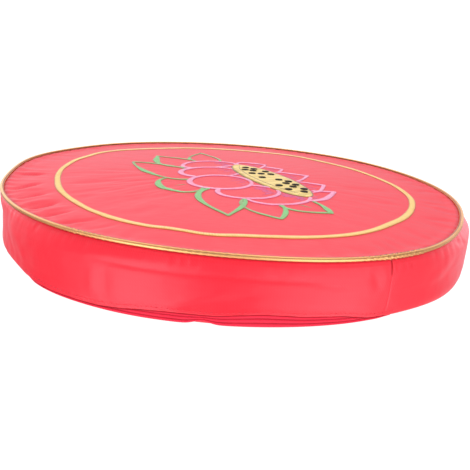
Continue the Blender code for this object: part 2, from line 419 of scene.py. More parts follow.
@dataclass(frozen=True)
class ClothRun:
    """A run of Blender's cloth on a coarse copy of the cover, to find how its slack wrinkles."""

    columns: int = 260
    first_row: int = 20  # the panel is held still inside it
    frames: int = 20
    pressure: float = 4.0
    growth: float = 0.018  # how much too large the cover is cut
    mass: float = 0.3
    stiffness: float = 15.0
    bending: float = 0.5
    fewest: int = 9  # waves round the cushion that are kept
    most: int = 90
    cap: float = 0.9 * MM  # height at which a wrinkle levels off
    quality: int = 6  # steps of the run for each frame

    def rows(self, starts: Numbers, fold: int) -> tuple[Numbers, Marks]:
        """Choose the rows of the cover's grid for the coarse copy.

        Args:
            starts: First rows of the roll, the channel, the band, the foot and the base.
            fold: Row at the edge of the band's fold.

        Returns:
            The rows, and whether each is held still: the middle, the seams and all below the fold.
        """
        kept = np.concatenate((
            np.arange(self.first_row, starts[0], 2), np.arange(starts[0], starts[1], 2),
            np.arange(starts[1], starts[2], 3), np.arange(starts[2], fold, 2),
            (fold, starts[3], starts[4] + 2)))
        held = (kept == self.first_row) | ((kept >= starts[1]) & (kept <= starts[2])) | (kept >= fold)
        return kept, held

    def cloth(self, points: Array, held: Marks) -> Object:
        """Make the coarse copy with its cloth settings.

        Args:
            points: Its grid, whose columns go all the way round.
            held: Whether each row is held still.

        Returns:
            An object for this run only.
        """
        rows, columns = points.shape[:2]
        i, j = np.meshgrid(np.arange(rows - 1), np.arange(columns), indexing="ij")
        after = (j + 1) % columns
        near, far = i * columns, (i + 1) * columns
        quads = np.stack((near + j, far + j, far + after, near + after), -1)
        mesh = bpy.data.meshes.new("slack_cloth")
        mesh.from_pydata(points.reshape(-1, 3).tolist(), [], quads.reshape(-1, 4).tolist())
        cloth = new_object("slack_cloth", mesh)
        pins = cloth.vertex_groups.new(name="held")
        pins.add(np.flatnonzero(np.repeat(held, columns)).tolist(), 1.0, "REPLACE")
        run = cloth.modifiers.new("cloth", "CLOTH")
        run.collision_settings.use_collision = False
        run.point_cache.frame_start, run.point_cache.frame_end = 1, self.frames
        for name, value in {
                "quality": self.quality, "mass": self.mass, "vertex_group_mass": "held",
                "tension_stiffness": self.stiffness, "compression_stiffness": self.stiffness,
                "shear_stiffness": self.stiffness / 2, "bending_stiffness": self.bending,
                "use_pressure": True, "uniform_pressure_force": self.pressure,
                "shrink_min": -self.growth, "shrink_max": -self.growth}.items():
            setattr(run.settings, name, value)
        run.settings.effector_weights.gravity = 0.0
        return cloth

    def moved(self, cloth: Object) -> Array:
        """Play the frames, read where the cloth has come to, and take the copy away.

        Args:
            cloth: The coarse copy.

        Returns:
            Its points.
        """
        scene = bpy.context.scene
        for number in range(1, self.frames + 1):
            scene.frame_set(number)
        mesh = cloth.evaluated_get(bpy.context.evaluated_depsgraph_get()).data
        places = np.empty(len(mesh.vertices) * 3, np.float32)
        mesh.vertices.foreach_get("co", places)
        coarse = cloth.data
        bpy.data.objects.remove(cloth)
        bpy.data.meshes.remove(coarse)
        scene.frame_set(1)
        return places.reshape(-1, 3).astype(float)

    def wrinkles(self, cover: "Cover") -> Array:
        """Find how far the slack cloth stands off the tight cover.

        The shift along the normals is taken round each row as a sum of waves. The long ones are the
        balloon that the pressure blows and the shortest are noise, so both are left out, and the
        rest is read at the cover's own columns, capped softly and spread over its own rows.

        Args:
            cover: The cover, which gives the tight shape.

        Returns:
            Height of the wrinkles at each point of the cover's grid.
        """
        starts = cover.section()[2]
        even = np.linspace(-math.pi, math.pi, self.columns, endpoint=False)
        points = cover.surface(even)[0]
        kept, held = self.rows(starts, starts[3] - cover.behind_rows)
        moved = self.moved(self.cloth(points[kept], held)).reshape(len(kept), self.columns, 3)
        shift = ((moved - points[kept]) * cover.normals(points)[kept]).sum(-1)
        waves = np.fft.rfft(shift, axis=1) * 2.0 / self.columns
        number = np.arange(waves.shape[1])
        not_long = smooth_step((number / self.fewest - 0.5) * 2.0)
        waves = waves * not_long * smooth_step((1.4 - number / self.most) / 0.4)
        shape = (waves @ np.exp(1j * np.outer(number, cover.bearings() + math.pi))).real
        log.info("cloth run: %d points, wrinkles of %.2f mm", moved.size // 3, shape.std() / MM)
        shape = self.cap * np.tanh(shape / self.cap)
        lines = np.arange(len(points))
        spread = np.stack([np.interp(lines, kept, one) for one in np.eye(len(kept))], 1) @ shape
        return (np.roll(spread, 1, 0) + 2.0 * spread + np.roll(spread, -1, 0)) / 4.0


@dataclass
class Cover:
    """Red satin cover: round top panel, band with a folded lip over the zip, and flat base panel."""

    filling: Filling
    slack: ClothRun = ClothRun()
    sectors: int = 600
    panel_edge: float = 190 * MM  # where the panel begins to roll into the piping seam
    seam_line: float = 198.2 * MM  # where the panel goes down beside the cord; the middle of the shade painted there
    panel_roll: float = 0.55 * MM  # how far it puffs up before it goes down
    cord_channel: float = 1.62 * MM
    channel_start: float = 212.0
    channel_end: float = 286.0
    band_top: float = 44 * MM
    band_foot: float = 3.2 * MM
    band_seam_radius: float = 200.8 * MM
    band_bulge: float = 2.8 * MM
    band_fullness: float = 0.55
    base_edge_radius: float = 198 * MM
    base_edge_height: float = 0.9 * MM
    base_flat_radius: float = 190 * MM
    zip_start: float = -133.0
    zip_end: float = -57.0
    fold_line: tuple[Pair, ...] = (  # bearing in degrees, height of the fold in mm
        (-160, 4.3), (-145, 4.3), (-131, 4.3), (-120, 4.3), (-112, 4.6), (-108, 6.0), (-104, 8.0),
        (-100, 9.2), (-96, 9.4), (-90, 10.0), (-87, 11.2), (-83, 12.3), (-80, 11.8), (-76, 10.6),
        (-72, 10.0), (-69, 9.2), (-66, 7.0), (-63, 5.0), (-60, 4.2), (-54, 4.0), (-40, 4.0),
        (60, 4.0), (160, 4.3),
    )
    fold_high: float = 12.3 * MM
    fold_drop: float = 0.5 * MM
    fold_ease: float = 30 * MM  # height above which the rows are level again
    zip_top_radius: float = 202.8 * MM
    zip_foot_radius: float = 200.8 * MM
    zip_foot: float = 1.3 * MM
    zip_thickness: float = 1.6 * MM
    lip_proud: float = 0.95 * MM
    lip_rise: float = 1.4 * MM
    lip_spread: float = 2.1 * MM
    sewing_gap: float = 0.3 * MM  # between the zip's back and the band behind it
    zip_ease: float = 5.0  # degrees inside each end of the zip over which the fold comes and goes
    crown_ring: float = 2 * MM  # radius of the first row, round the crown's middle
    base_ring: float = 3 * MM  # and of the last, round the base's
    panel_rows: int = 64  # how many rows each part of the section has
    roll_rows: int = 8
    channel_rows: int = 8
    upper_rows: int = 27
    lip_rows: tuple[float, ...] = (4.6, 3.4, 2.4, 1.6, 1.0)  # mm over the fold
    lip_top: float = 6 * MM  # over the fold, where those begin
    behind_rows: int = 8
    foot_rows: int = 6
    base_rows: int = 15
    turned_row: int = 5  # row of the channel from which the cloth is the band's
    join: float = -59.3  # bearing of the seam that joins the band's two ends
    join_columns: int = 21  # finer columns there, so far to each side of it
    join_reach: float = 3.0 * MM
    join_clear: float = 3.4 * MM
    join_mark: float = 0.0035  # radians, how far to each side the shade painted on its pinched top reaches
    # how dark the shade painted on the join's pinched top is
    join_shade: float = 0.8
    join_height: float = 34 * MM  # height at which that shade starts
    join_ease: float = 4 * MM
    seam_width: float = 1.7 * MM  # of the shade painted beside the cord
    seam_shade: float = 0.45  # its strength at the two sides of the cushion
    seam_swing: float = 0.25  # how much stronger it is at the back, and weaker in front
    gather_depth: float = 0.26 * MM
    gather_count: int = 9
    gather_lobes: tuple[int, int] = (100, 250)  # fewest and most gathers round the cushion
    gather_seed: int = 11
    slack_shares: tuple[Place, ...] = (  # bearing, spread, and how much more of the run's wrinkles shows
        Place(-150, 32, 0.7),
        Place(-10, 40, 0.15),
        Place(-70, 20, 0.25),
    )
    slack_least: float = 0.25
    ring_line: float = 161 * MM  # the stitched ring holds the cloth flat along it
    ring_reach: float = 9 * MM  # so far to each side
    ring_hold: float = 0.85  # and so much
    slack_on_band: float = 0.3
    slack_within: float = 0.4  # inside the ring, where the sewing holds the cloth
    panel_puckers: Puckers = Puckers(Ground.PANEL, seam=199.0, into=-1.0, count=60, depth=0.3, seed=3)
    band_puckers: Puckers = Puckers(Ground.BAND, seam=45.0, into=-1.0, count=70, depth=0.22, seed=4)
    panel_creases: tuple[Crease, ...] = (  # its two ends in degrees and mm, depth, width, and fade
        Crease((-170.7, 197), (-170.4, 166), 1.4, 3),
        Crease((-163.5, 197), (-165, 168), -0.4, 4),
        Crease((-154, 198), (-160, 167), 1.9, 2.8),
        Crease((-151, 197), (-154.5, 168), -0.5, 3.6),
        Crease((-146.6, 198), (-149, 168), 1.8, 2.6),
        Crease((-142, 197), (-143.8, 168), -0.5, 3.4),
        Crease((-137.8, 199), (-140.4, 167), 1.9, 2.6),
        Crease((-134.6, 197), (-135.8, 169), -0.45, 3.2),
        Crease((-132.3, 199), (-130.6, 168), 1.5, 2.4),
        Crease((-126.4, 199), (-121.3, 170), 1.2, 2.4),
        Crease((-119.5, 198), (-114.9, 171), 0.7, 2.6),
        Crease((-22, 197), (-28, 168), 0.55, 4),
        Crease((-8, 197), (-12, 166), 0.6, 4.5),
        Crease((5, 197), (2, 168), 0.55, 4),
        Crease((18, 197), (17, 170), 0.45, 4),
        Crease((-127.8, 132), (-125.5, 95), 0.4, 6, 0.4),
        Crease((-116.8, 158), (-115.3, 122), 0.45, 6, 0.4),
        Crease((-155.8, 152), (-159.1, 100), 0.45, 7, 0.4),
        Crease((-9.2, 92), (-0.5, 157), 0.55, 7, 0.4),
        Crease((-25.7, 112), (-17.9, 153), 0.4, 6, 0.4),
        Crease((-52, 174), (-54.6, 199), 0.5, 3.5),
    )
    band_creases: tuple[Crease, ...] = (
        Crease((-119, 35.5), (-68, 34.5), 1.1, 1.8, 0.25),
        Crease((-118, 40), (-72, 39.4), -0.4, 3, 0.25),
        Crease((-110.6, 40), (-110.8, 6), 0.45, 4),
        Crease((-113.4, 34), (-113.6, 8), -0.35, 3.2),
        Crease((-102.8, 10), (-87, 30), -0.6, 3.4),
        Crease((-98, 12), (-82, 27), 0.5, 3.2),
        Crease((-142.4, 41), (-132, 12), -0.4, 4.5),
        Crease((-146, 38), (-137, 10), 0.4, 3.6),
        Crease((-36, 37), (-50, 20), -0.4, 4.8),
        Crease((-31, 36), (-45, 16), 0.3, 4),
        Crease((-36, 44), (-26, 34), 0.5, 1.6),
        Crease((-59.3, 50), (-59.2, 34.6), 2.2, 0.45, 0.3),
        Crease((-59.3, 44), (-59.6, 6), 0.14, 0.7, 0.1),
        Crease((-58, 45.5), (-57.9, 37), 0.9, 1.1),
        Crease((-56.2, 45.5), (-55.6, 37), 0.8, 1),
        Crease((-54.6, 45.5), (-53.6, 37), 0.7, 1),
        Crease((-63.6, 39), (-61.6, 25), 0.5, 3),
        Crease((-84, 41.5), (-80, 36), 0.5, 1.6),
        Crease((-78, 34), (-67.5, 29.5), 0.4, 1.6),
        Crease((-147, 41), (-113, 40), -0.8, 4.5, 0.3),
        Crease((-156, 37), (-112, 37), 1, 5, 0.3),
        Crease((-186, 35), (-146, 35), 0.6, 9, 0.5),
        Crease((-170, 9), (-135, 9), -1.2, 8, 0.5),
    )

    def bearings(self) -> Array:
        """Bearings of the columns: even steps, and finer ones beside the band's join."""
        even = np.linspace(-math.pi, math.pi, self.sectors, endpoint=False)
        finer = np.linspace(-1.0, 1.0, self.join_columns) * self.join_reach / self.band_seam_radius
        join = math.radians(self.join) + finer
        clear = self.join_clear / self.band_seam_radius
        kept = even[np.abs(even - join[self.join_columns // 2]) > clear]
        return np.sort(np.concatenate((kept, join)))

    def section(self) -> tuple[Array, Array, Numbers]:
        """Section of the cover from the crown's middle to the base's, before it settles.

        The panel follows the crown, puffs a little and goes down into the seam. An arc holds the
        cord. The band is upright here, and band_rows gives it its bulge and its fold. A curve of
        the second degree turns under at the foot, and the base is flat.

        Returns:
            Radius and height of each row, and the first row of the panel's roll, the channel, the
            band, the foot and the base.
        """
        panel = np.linspace(self.crown_ring, self.panel_edge, self.panel_rows)
        start, end = np.radians(self.channel_start), np.radians(self.channel_end)
        arc = np.linspace(start, end, self.channel_rows)
        channel = (self.filling.piping_radius + self.cord_channel * np.cos(arc),
                   self.filling.piping_height + self.cord_channel * np.sin(arc))
        t = np.linspace(0.0, 1.0, self.roll_rows + 2)[1:-1]
        ease = t ** 3
        roll = (self.panel_edge + (channel[0][0] - self.panel_edge) * np.sin(t * math.pi / 2) ** 0.9,
                self.filling.crown(np.array(self.panel_edge)) * (1 - ease) + channel[1][0] * ease
                + self.panel_roll * np.sin(math.pi * t) ** 1.2)
        upper = np.linspace(self.band_top, self.fold_high + self.lip_top, self.upper_rows)
        lip = self.fold_high + np.array([*self.lip_rows, self.fold_drop / MM]) * MM
        behind = np.linspace(self.fold_high - 0.4 * MM, self.band_foot, self.behind_rows - 1)
        band = np.concatenate((upper, lip, [self.fold_high], behind))
        u = np.linspace(0.0, 1.0, self.foot_rows + 1)[1:]
        edge = np.array([self.base_edge_radius, self.base_edge_height])
        seam = np.array([self.band_seam_radius, self.band_foot])
        flat = np.array([self.base_flat_radius, 0.0])
        foot = (np.outer((1 - u) ** 2, seam) + np.outer(2 * u * (1 - u), edge)
                + np.outer(u ** 2, flat)).T
        base = np.linspace(self.base_flat_radius, self.base_ring, self.base_rows + 1)[1:]
        upright = np.full(len(band), self.band_seam_radius)
        radius = np.concatenate((panel, roll[0], channel[0], upright, foot[0], base))
        level = np.zeros(len(base))
        height = np.concatenate((self.filling.crown(panel), roll[1], channel[1], band, foot[1], level))
        starts = np.cumsum([len(panel), len(roll[0]), len(channel[0]), len(band), len(foot[0])])
        return radius, height, starts

    def fold_height(self, bearing: Array) -> Array:
        """Height of the band's fold over the zip, which hangs lower towards the zip's two ends."""
        places, heights = np.array(self.fold_line).T
        return through(np.radians(places), heights, bearing) * MM

    def beside_zip(self, bearing: Array) -> Array:
        """1 along the zip, easing to 0 over the last degrees before each of its ends."""
        degrees = np.degrees(bearing)
        inside = np.minimum(degrees - self.zip_start, self.zip_end - degrees)
        return smooth_step(inside / self.zip_ease)

    def zip_face(self, height: Array) -> Array:
        """Radius of the zip's outer face, a line that leans out as it rises."""
        slope = (self.zip_top_radius - self.zip_foot_radius) / (self.fold_high - self.zip_foot)
        return self.zip_foot_radius + slope * (height - self.zip_foot)

    def band_rows(self, bearing: Array, height: Array) -> tuple[Array, Array]:
        """Give the band its bulge, its fold over the zip and the recess behind the zip.

        The bulge is a sine of the height to a low power. The rows under the fold are squeezed to
        the fold's own height, and those above it ease back to level. The lip is a bell just over
        the fold.

        Args:
            bearing: Bearing of each point.
            height: Its row's height where the fold is at its highest.

        Returns:
            Radius and height of each point.
        """
        fold = self.fold_height(bearing)
        eased = np.clip((self.fold_ease - height) / (self.fold_ease - self.fold_high), 0.0, 1.0)
        drop = (fold - self.fold_high) * eased
        under = height <= self.fold_high + 1e-9
        above_foot = (height - self.band_foot) * (fold - self.band_foot)
        squeezed = self.band_foot + above_foot / (self.fold_high - self.band_foot)
        level = np.where(under, squeezed, height + drop)
        share = np.clip((self.band_top - level) / (self.band_top - self.band_foot), 0.0, 1.0)
        radius = self.band_seam_radius + self.band_bulge * np.sin(math.pi * share) ** self.band_fullness
        wall = self.zip_face(level) - self.zip_thickness - self.sewing_gap
        lip = self.lip_proud * bell((level - fold - self.lip_rise) / self.lip_spread)
        shaped = np.where(under, np.minimum(radius, wall), radius + lip)
        return radius + self.beside_zip(bearing) * (shaped - radius), level

    def surface(self, bearing: Array) -> tuple[Array, Array, Array]:
        """Lay out the settled cover before its folds.

        Args:
            bearing: Bearing of each column.

        Returns:
            Points of the grid, and the radius and height of each before it settled.
        """
        radius, height, starts = self.section()
        radius = np.repeat(radius[:, None], len(bearing), 1)
        height = np.repeat(height[:, None], len(bearing), 1)
        band = slice(starts[2], starts[3])
        angle = np.broadcast_to(bearing, height[band].shape)
        radius[band], height[band] = self.band_rows(angle, height[band])
        foot = slice(starts[3], starts[4])
        recess = self.beside_zip(bearing) * (radius[starts[3] - 1] - self.band_seam_radius)
        radius[foot] += recess * np.linspace(0.9, 0.0, starts[4] - starts[3])[:, None]
        whole = np.broadcast_to(bearing, radius.shape)
        return self.filling.settle(radius, whole, height), radius, height

    def normals(self, points: Array) -> Array:
        """Outward normals of the grid, from the cross product of its two central differences."""
        across = np.roll(points, -1, 1) - np.roll(points, 1, 1)
        down = np.gradient(points, axis=0)
        normal = np.cross(down, across)
        return normal / np.maximum(np.linalg.norm(normal, axis=-1, keepdims=True), 1e-12)

    def gathers(self, bearing: Array, radius: Array, height: Array,
                on_panel: Marks, on_band: Marks) -> Array:
        """Work out the small gathers on both sides of the piping seam.

        They are a sum of seeded waves of 5 to 12 mm round the seam, come and go along it, and die
        away over some millimetres from it. The band's are the strongest in front.

        Args:
            bearing: Bearing of each point.
            radius: Its radius before it settles.
            height: Its height before it settles.
            on_panel: Whether its row is the panel's.
            on_band: Whether its row is the band's.

        Returns:
            Depth of the gathers at each point.
        """
        chance = np.random.default_rng(self.gather_seed)
        gathers = np.zeros_like(bearing)
        for lobes in chance.integers(*self.gather_lobes, self.gather_count):
            gathers = gathers + np.sin(lobes * bearing + chance.uniform(0, TURN)) / 3.0
        unevenness = 0.5 + 0.5 * np.sin(3 * bearing + 1.0) * np.sin(7 * bearing + 2.0)
        inside = bell((self.filling.piping_radius - 3 * MM - radius) / (5 * MM))
        pulled = np.maximum(0.4 - 0.6 * np.sin(bearing), 0.3)
        below = pulled * np.where(on_band, bell((self.band_top - 1.5 * MM - height) / (4 * MM)), 0.0)
        return self.gather_depth * gathers * unevenness * (np.where(on_panel, inside, 0.0) + below)

    def folded(self) -> Array:
        """Press the wrinkles, the fold lines and the gathers into the settled cover.

        Each point moves along the cloth's own normal.

        Returns:
            Points of the finished grid.
        """
        points, radius, height = self.surface(self.bearings())
        bearing = np.broadcast_to(self.bearings(), radius.shape)
        starts = self.section()[2]
        row = np.arange(len(points))[:, None]
        on_panel = row < starts[1]
        on_band = (row >= starts[2]) & (row < starts[3])
        panel_folds = self.panel_creases + self.panel_puckers.creases()
        band_folds = self.band_creases + self.band_puckers.creases()
        depth = np.where(on_panel, crease_depth(Ground.PANEL, bearing, radius, panel_folds), 0.0)
        depth += np.where(on_band, crease_depth(Ground.BAND, bearing, height, band_folds), 0.0)
        share = self.slack_least + sum(place.share(bearing) for place in self.slack_shares)
        beside_ring = bell((radius - self.ring_line) / self.ring_reach)
        share = share * (1.0 - self.ring_hold * np.where(on_panel, beside_ring, 0.0))
        share = share * np.where(on_panel & (radius < self.ring_line), self.slack_within, 1.0)
        depth -= self.slack.wrinkles(self) * share * np.where(on_panel, 1.0, self.slack_on_band)
        depth += self.gathers(bearing, radius, height, on_panel, on_band)
        return points - self.normals(points) * depth[..., None]

    def build(self, material: Material) -> Object:
        """Make the cover's mesh, and keep its grid for what is sewn on it.

        Painted shade lowers its tone, by bells, along the seam line beside the cord and along the
        pinched top of the band's join.

        Args:
            material: Red satin.

        Returns:
            The cushion.
        """
        self.grid = self.folded()
        self.grid_bearings = self.bearings()
        radius, height, starts = self.section()
        self.rows = radius, height, starts
        rows, columns = self.grid.shape[:2]
        whole = (rows, columns + 1)
        closing = np.broadcast_to(np.append(self.grid_bearings, self.grid_bearings[0] + TURN), whole)
        plan = flat_place(Ground.PANEL, closing, np.broadcast_to(radius[:, None], whole))
        band = flat_place(Ground.BAND, closing, np.broadcast_to(height[:, None], whole))
        row = np.arange(rows)
        on_band = (row >= starts[1] + self.turned_row) & (row < starts[4])
        # painted shade along the seam line beside the cord, and on the pinched top of the band's join
        seam_shade_mask = np.where(row < starts[1], bell((radius - self.seam_line) / self.seam_width), 0.0)
        shade = seam_shade_mask[:, None] * (self.seam_shade + self.seam_swing * np.sin(self.grid_bearings))
        pinched = on_band * smooth_step((height - self.join_height) / self.join_ease)
        beside_join = bell((self.grid_bearings - math.radians(self.join)) / self.join_mark)
        shade = shade + self.join_shade * pinched[:, None] * beside_join
        uv = np.where(on_band[:, None, None], band, plan)
        patch = Patch(self.grid, uv, 1.0 - shade)
        cushion = make_piece("satin_cover", [patch], material, ("cushion",))
        return cushion

    def lie(self, row: Array, bearing: Array, lift: Array) -> Array:
        """Find places on the finished cloth, some way off it, by weighing the grid's four corners.

        Args:
            row: Row of the grid, with its fraction.
            bearing: Bearing in radians.
            lift: Distance off the cloth along its normal.

        Returns:
            Points in metres.
        """
        columns = len(self.grid_bearings)
        angle = wrapped(bearing)
        right = np.searchsorted(self.grid_bearings, angle, side="right")
        left = (right - 1) % columns
        left_at = self.grid_bearings[left] - np.where(right == 0, TURN, 0.0)
        right_at = self.grid_bearings[right % columns] + np.where(right == columns, TURN, 0.0)
        right = right % columns
        v = ((angle - left_at) / (right_at - left_at))[..., None]
        top = np.clip(np.floor(row).astype(int), 0, len(self.grid) - 2)
        u = (row - top)[..., None]
        if not hasattr(self, "grid_normals"):
            self.grid_normals = self.normals(self.grid)
        place, normal = (
            (g[top, left] * (1 - v) + g[top, right] * v) * (1 - u)
            + (g[top + 1, left] * (1 - v) + g[top + 1, right] * v) * u
            for g in (self.grid, self.grid_normals))
        return place + normal * np.asarray(lift)[..., None]

    def on_panel(self, plan: Array, lift: Array) -> Array:
        """Points some way off the top panel, from plan places before it settles."""
        radius, _, starts = self.rows
        row = np.interp(np.hypot(plan[..., 0], plan[..., 1]), radius[:starts[1]], np.arange(starts[1]))
        return self.lie(row, np.arctan2(plan[..., 1], plan[..., 0]), lift)

    def on_band(self, bearing: Array, height: Array, lift: Array) -> Array:
        """Points some way off the band, from bearings and from heights where the fold is highest."""
        _, heights, starts = self.rows
        row = np.interp(-height, -heights[starts[2]:starts[3]], np.arange(starts[2], starts[3]))
        return self.lie(row, bearing, lift)


@dataclass(frozen=True)
class Piping:
    """Gold lamé wrapped round a cord and sewn into the top seam, with its two ends lapped."""

    filling: Filling
    radius: float = 1.5 * MM
    steps: int = 1800
    around: int = 20
    wrinkle: float = 0.16 * MM
    wrinkle_length: float = 2.8 * MM
    wrinkle_slant: float = 1.7  # how far a wrinkle runs on as it goes round the cord
    wrinkle_sway: float = 5.0
    # painted shade in the wrinkles' hollows
    wrinkle_shade: float = 0.08
    least_wrinkled: float = 0.25  # strength of the wrinkles away from the places named below
    inner_seam_shade: float = 140.0  # degrees round the cord from its outer side, where it dips into its seam and shade is painted
    inner_shade_swing: float = 40.0  # how much further round that is at the back, and less in front
    # degrees round the cord to where the covering dips into its lower seam and shade is painted
    outer_seam_shade: float = -58.0
    dark_reflection: float = 0.12  # least darkness of the painted dark reflection along the cord's middle
    dark_reflection_turn: float = 26.0  # where that painted dark reflection runs, degrees up from the cord's outer side
    lap: float = 0.3 * MM  # how much thicker the cord is where its covering is lapped
    lap_places: Pair = (-63.0, -50.0)
    lap_ramps: Pair = (3.0, 0.5)  # degrees over which its two ends rise
    darker_reflection_at: tuple[Place, ...] = (  # bearing, spread, how much darker the painted dark reflection is
        Place(-146, 20, 0.4),
        Place(-94, 7, 0.12),
        Place(-48, 9, 0.15),
    )
    thicker: Place = Place(-28, 32, 0.12)  # share of the radius
    wrinkled: tuple[Place, ...] = (  # bearing, spread, how much stronger
        Place(-117, 6, 1.8),
        Place(-92, 8, 1.1),
        Place(-58, 9, 1.7),
        Place(-30, 6, 0.6),
        Place(70, 15, 0.7),
        Place(-160, 8, 0.5),
    )

    def build(self, material: Material) -> Object:
        """Carry a circle along the settled edge.

        Its radius has slanting wrinkles, which are a sine of the length and the turn round the cord,
        strongest at the named places, and a step where the covering is lapped. Painted shade lowers
        the tone in the wrinkles and where the covering dips into the seam on its inner and its lower
        side, and a painted dark reflection runs along its middle.

        Args:
            material: Gold lamé.

        Returns:
            The piping.
        """
        bearing = np.linspace(-math.pi, math.pi, self.steps, endpoint=False)
        turn = np.linspace(0.0, TURN, self.around, endpoint=False)
        middle = self.filling.settle(np.full(self.steps, self.filling.piping_radius), bearing,
                                     np.full(self.steps, self.filling.piping_height))
        outward = np.stack((np.cos(bearing), np.sin(bearing), np.zeros(self.steps)), -1)
        upward = np.array([0.0, 0.0, 1.0])
        length = bearing * self.filling.piping_radius
        chance = np.random.default_rng(5)
        sway = sum(np.sin(n * bearing + chance.uniform(0, TURN)) for n in (23, 37, 61)) / 3.0
        strength = self.least_wrinkled + sum(place.share(bearing) for place in self.wrinkled)
        phase = TURN * length / self.wrinkle_length + self.wrinkle_sway * sway
        folds = (np.sin(phase[:, None] + self.wrinkle_slant * turn)
                 * np.sin(0.37 * phase[:, None] - turn + 2.0))
        first, last = np.radians(self.lap_places)
        rise, fall = np.radians(self.lap_ramps)
        lap = smooth_step((bearing - first) / rise) * smooth_step((last - bearing) / fall)
        radius = self.radius * (1.0 + self.thicker.share(bearing))[:, None]
        radius = radius + self.wrinkle * strength[:, None] * folds + self.lap * lap[:, None]
        around = np.cos(turn)[None, :, None] * outward[:, None] + np.sin(turn)[None, :, None] * upward
        points = middle[:, None] + radius[..., None] * around
        uv = np.stack(np.meshgrid(np.append(length, length[0] + TURN * self.filling.piping_radius),
                                  np.append(turn, TURN) * self.radius, indexing="ij"), -1)
        # painted shade where the covering dips into its two seams and in the wrinkles' hollows, and a
        # painted dark reflection along the middle
        inner = np.radians(self.inner_seam_shade + self.inner_shade_swing * np.sin(bearing))[:, None]
        outer = math.radians(self.outer_seam_shade)
        seams = bell(wrapped(turn - inner) / 0.36) + bell(wrapped(turn - outer) / 0.30)
        # how dark the painted dark reflection is at each bearing
        drawn = self.dark_reflection + sum(place.share(bearing) for place in self.darker_reflection_at)
        seams = seams + drawn[:, None] * bell((turn - math.radians(self.dark_reflection_turn)) / 0.22)
        seams = seams + self.wrinkle_shade * strength[:, None] * (1.0 - folds)
        patch = Patch(points, uv, np.clip(1.0 - seams, 0.0, 1.0), closed_along=True)
        return make_piece("lame_piping", [patch], material, ("piping",))


@dataclass(frozen=True)
class ZipStrip:
    """Closed zip in the foot of the band: two tapes and a coil as three ribs, under the fold."""

    cover: Cover
    ribs: int = 3
    rib_depth: float = 1.0 * MM
    rib_points: int = 9
    step: float = 0.4 * MM
    tooth: float = 1.6 * MM  # spacing of the coil's turns, drawn coarse enough to show
    tooth_depth: float = 0.10 * MM
    coil: float = 0.14  # share of the strip's height over which the coil's turns show
    gap: float = 0.15 * MM  # between the strip's top and the fold
    margin: float = 0.4  # degrees that the strip stops short of the zip's two ends
    shade: float = 2.0 * MM  # how far under the fold the shade painted on the strip reaches
    full: float = 9.0 * MM  # least height of the fold that shows all the ribs
    sink: float = 0.9 * MM  # how far its two ends go in under the band
    sink_length: float = 14 * MM

    def build(self, material: Material) -> Object:
        """Carry the ribbed section along the foot, cut off above by the fold that hangs over it.

        The outer face is a slanting line less the rib depth times one minus the size of a sine of
        the height, and the middle rib has the coil's small turns. The back is flat, and both ends
        ease inwards, under the cloth.

        Args:
            material: Red zip tape.

        Returns:
            The zip.
        """
        cover = self.cover
        start, end = np.radians(cover.zip_start + self.margin), np.radians(cover.zip_end - self.margin)
        count = int((end - start) * cover.zip_top_radius / self.step)
        bearing = np.linspace(start, end, count)[:, None]
        fold = cover.fold_height(bearing) - self.gap
        share = np.linspace(0.0, 1.0, self.ribs * self.rib_points + 1)
        height = fold + (cover.zip_foot - fold) * share
        top = np.maximum(fold, self.full)
        down = (top - height) / (top - cover.zip_foot)
        rib = np.abs(np.sin(math.pi * self.ribs * down))
        radius = cover.zip_face(height) - self.rib_depth * (1.0 - rib ** 0.7)
        coil = bell((down - 0.5) / self.coil)
        teeth = np.sin(TURN * bearing * cover.zip_top_radius / self.tooth)
        radius = radius + self.tooth_depth * coil * teeth
        reach = np.minimum(bearing - start, end - bearing) * cover.zip_top_radius
        under = self.sink * (1.0 - smooth_step(reach / self.sink_length))
        radius = radius - under
        back = cover.zip_face(height) - cover.zip_thickness - under
        outer = cover.filling.settle(radius, np.broadcast_to(bearing, radius.shape), height)
        back, behind = back[:, ::-4], height[:, ::-4]
        inner = cover.filling.settle(back, np.broadcast_to(bearing, back.shape), behind)
        points = np.concatenate((outer, inner), axis=1)
        flat = np.concatenate((height, behind, height[:, :1]), axis=1)
        uv = np.stack((np.broadcast_to(bearing * cover.zip_top_radius, flat.shape), flat), -1)
        # painted shade in the valleys between the ribs and under the fold
        front = (0.25 + 0.75 * np.clip(rib, 0.0, 1.0) ** 0.9) * smooth_step((fold - height) / self.shade)
        tone = np.concatenate((front, np.zeros_like(inner[..., 0])), axis=1)
        return make_piece("closed_zip", [Patch(points, uv, tone)], material, ("zip",))


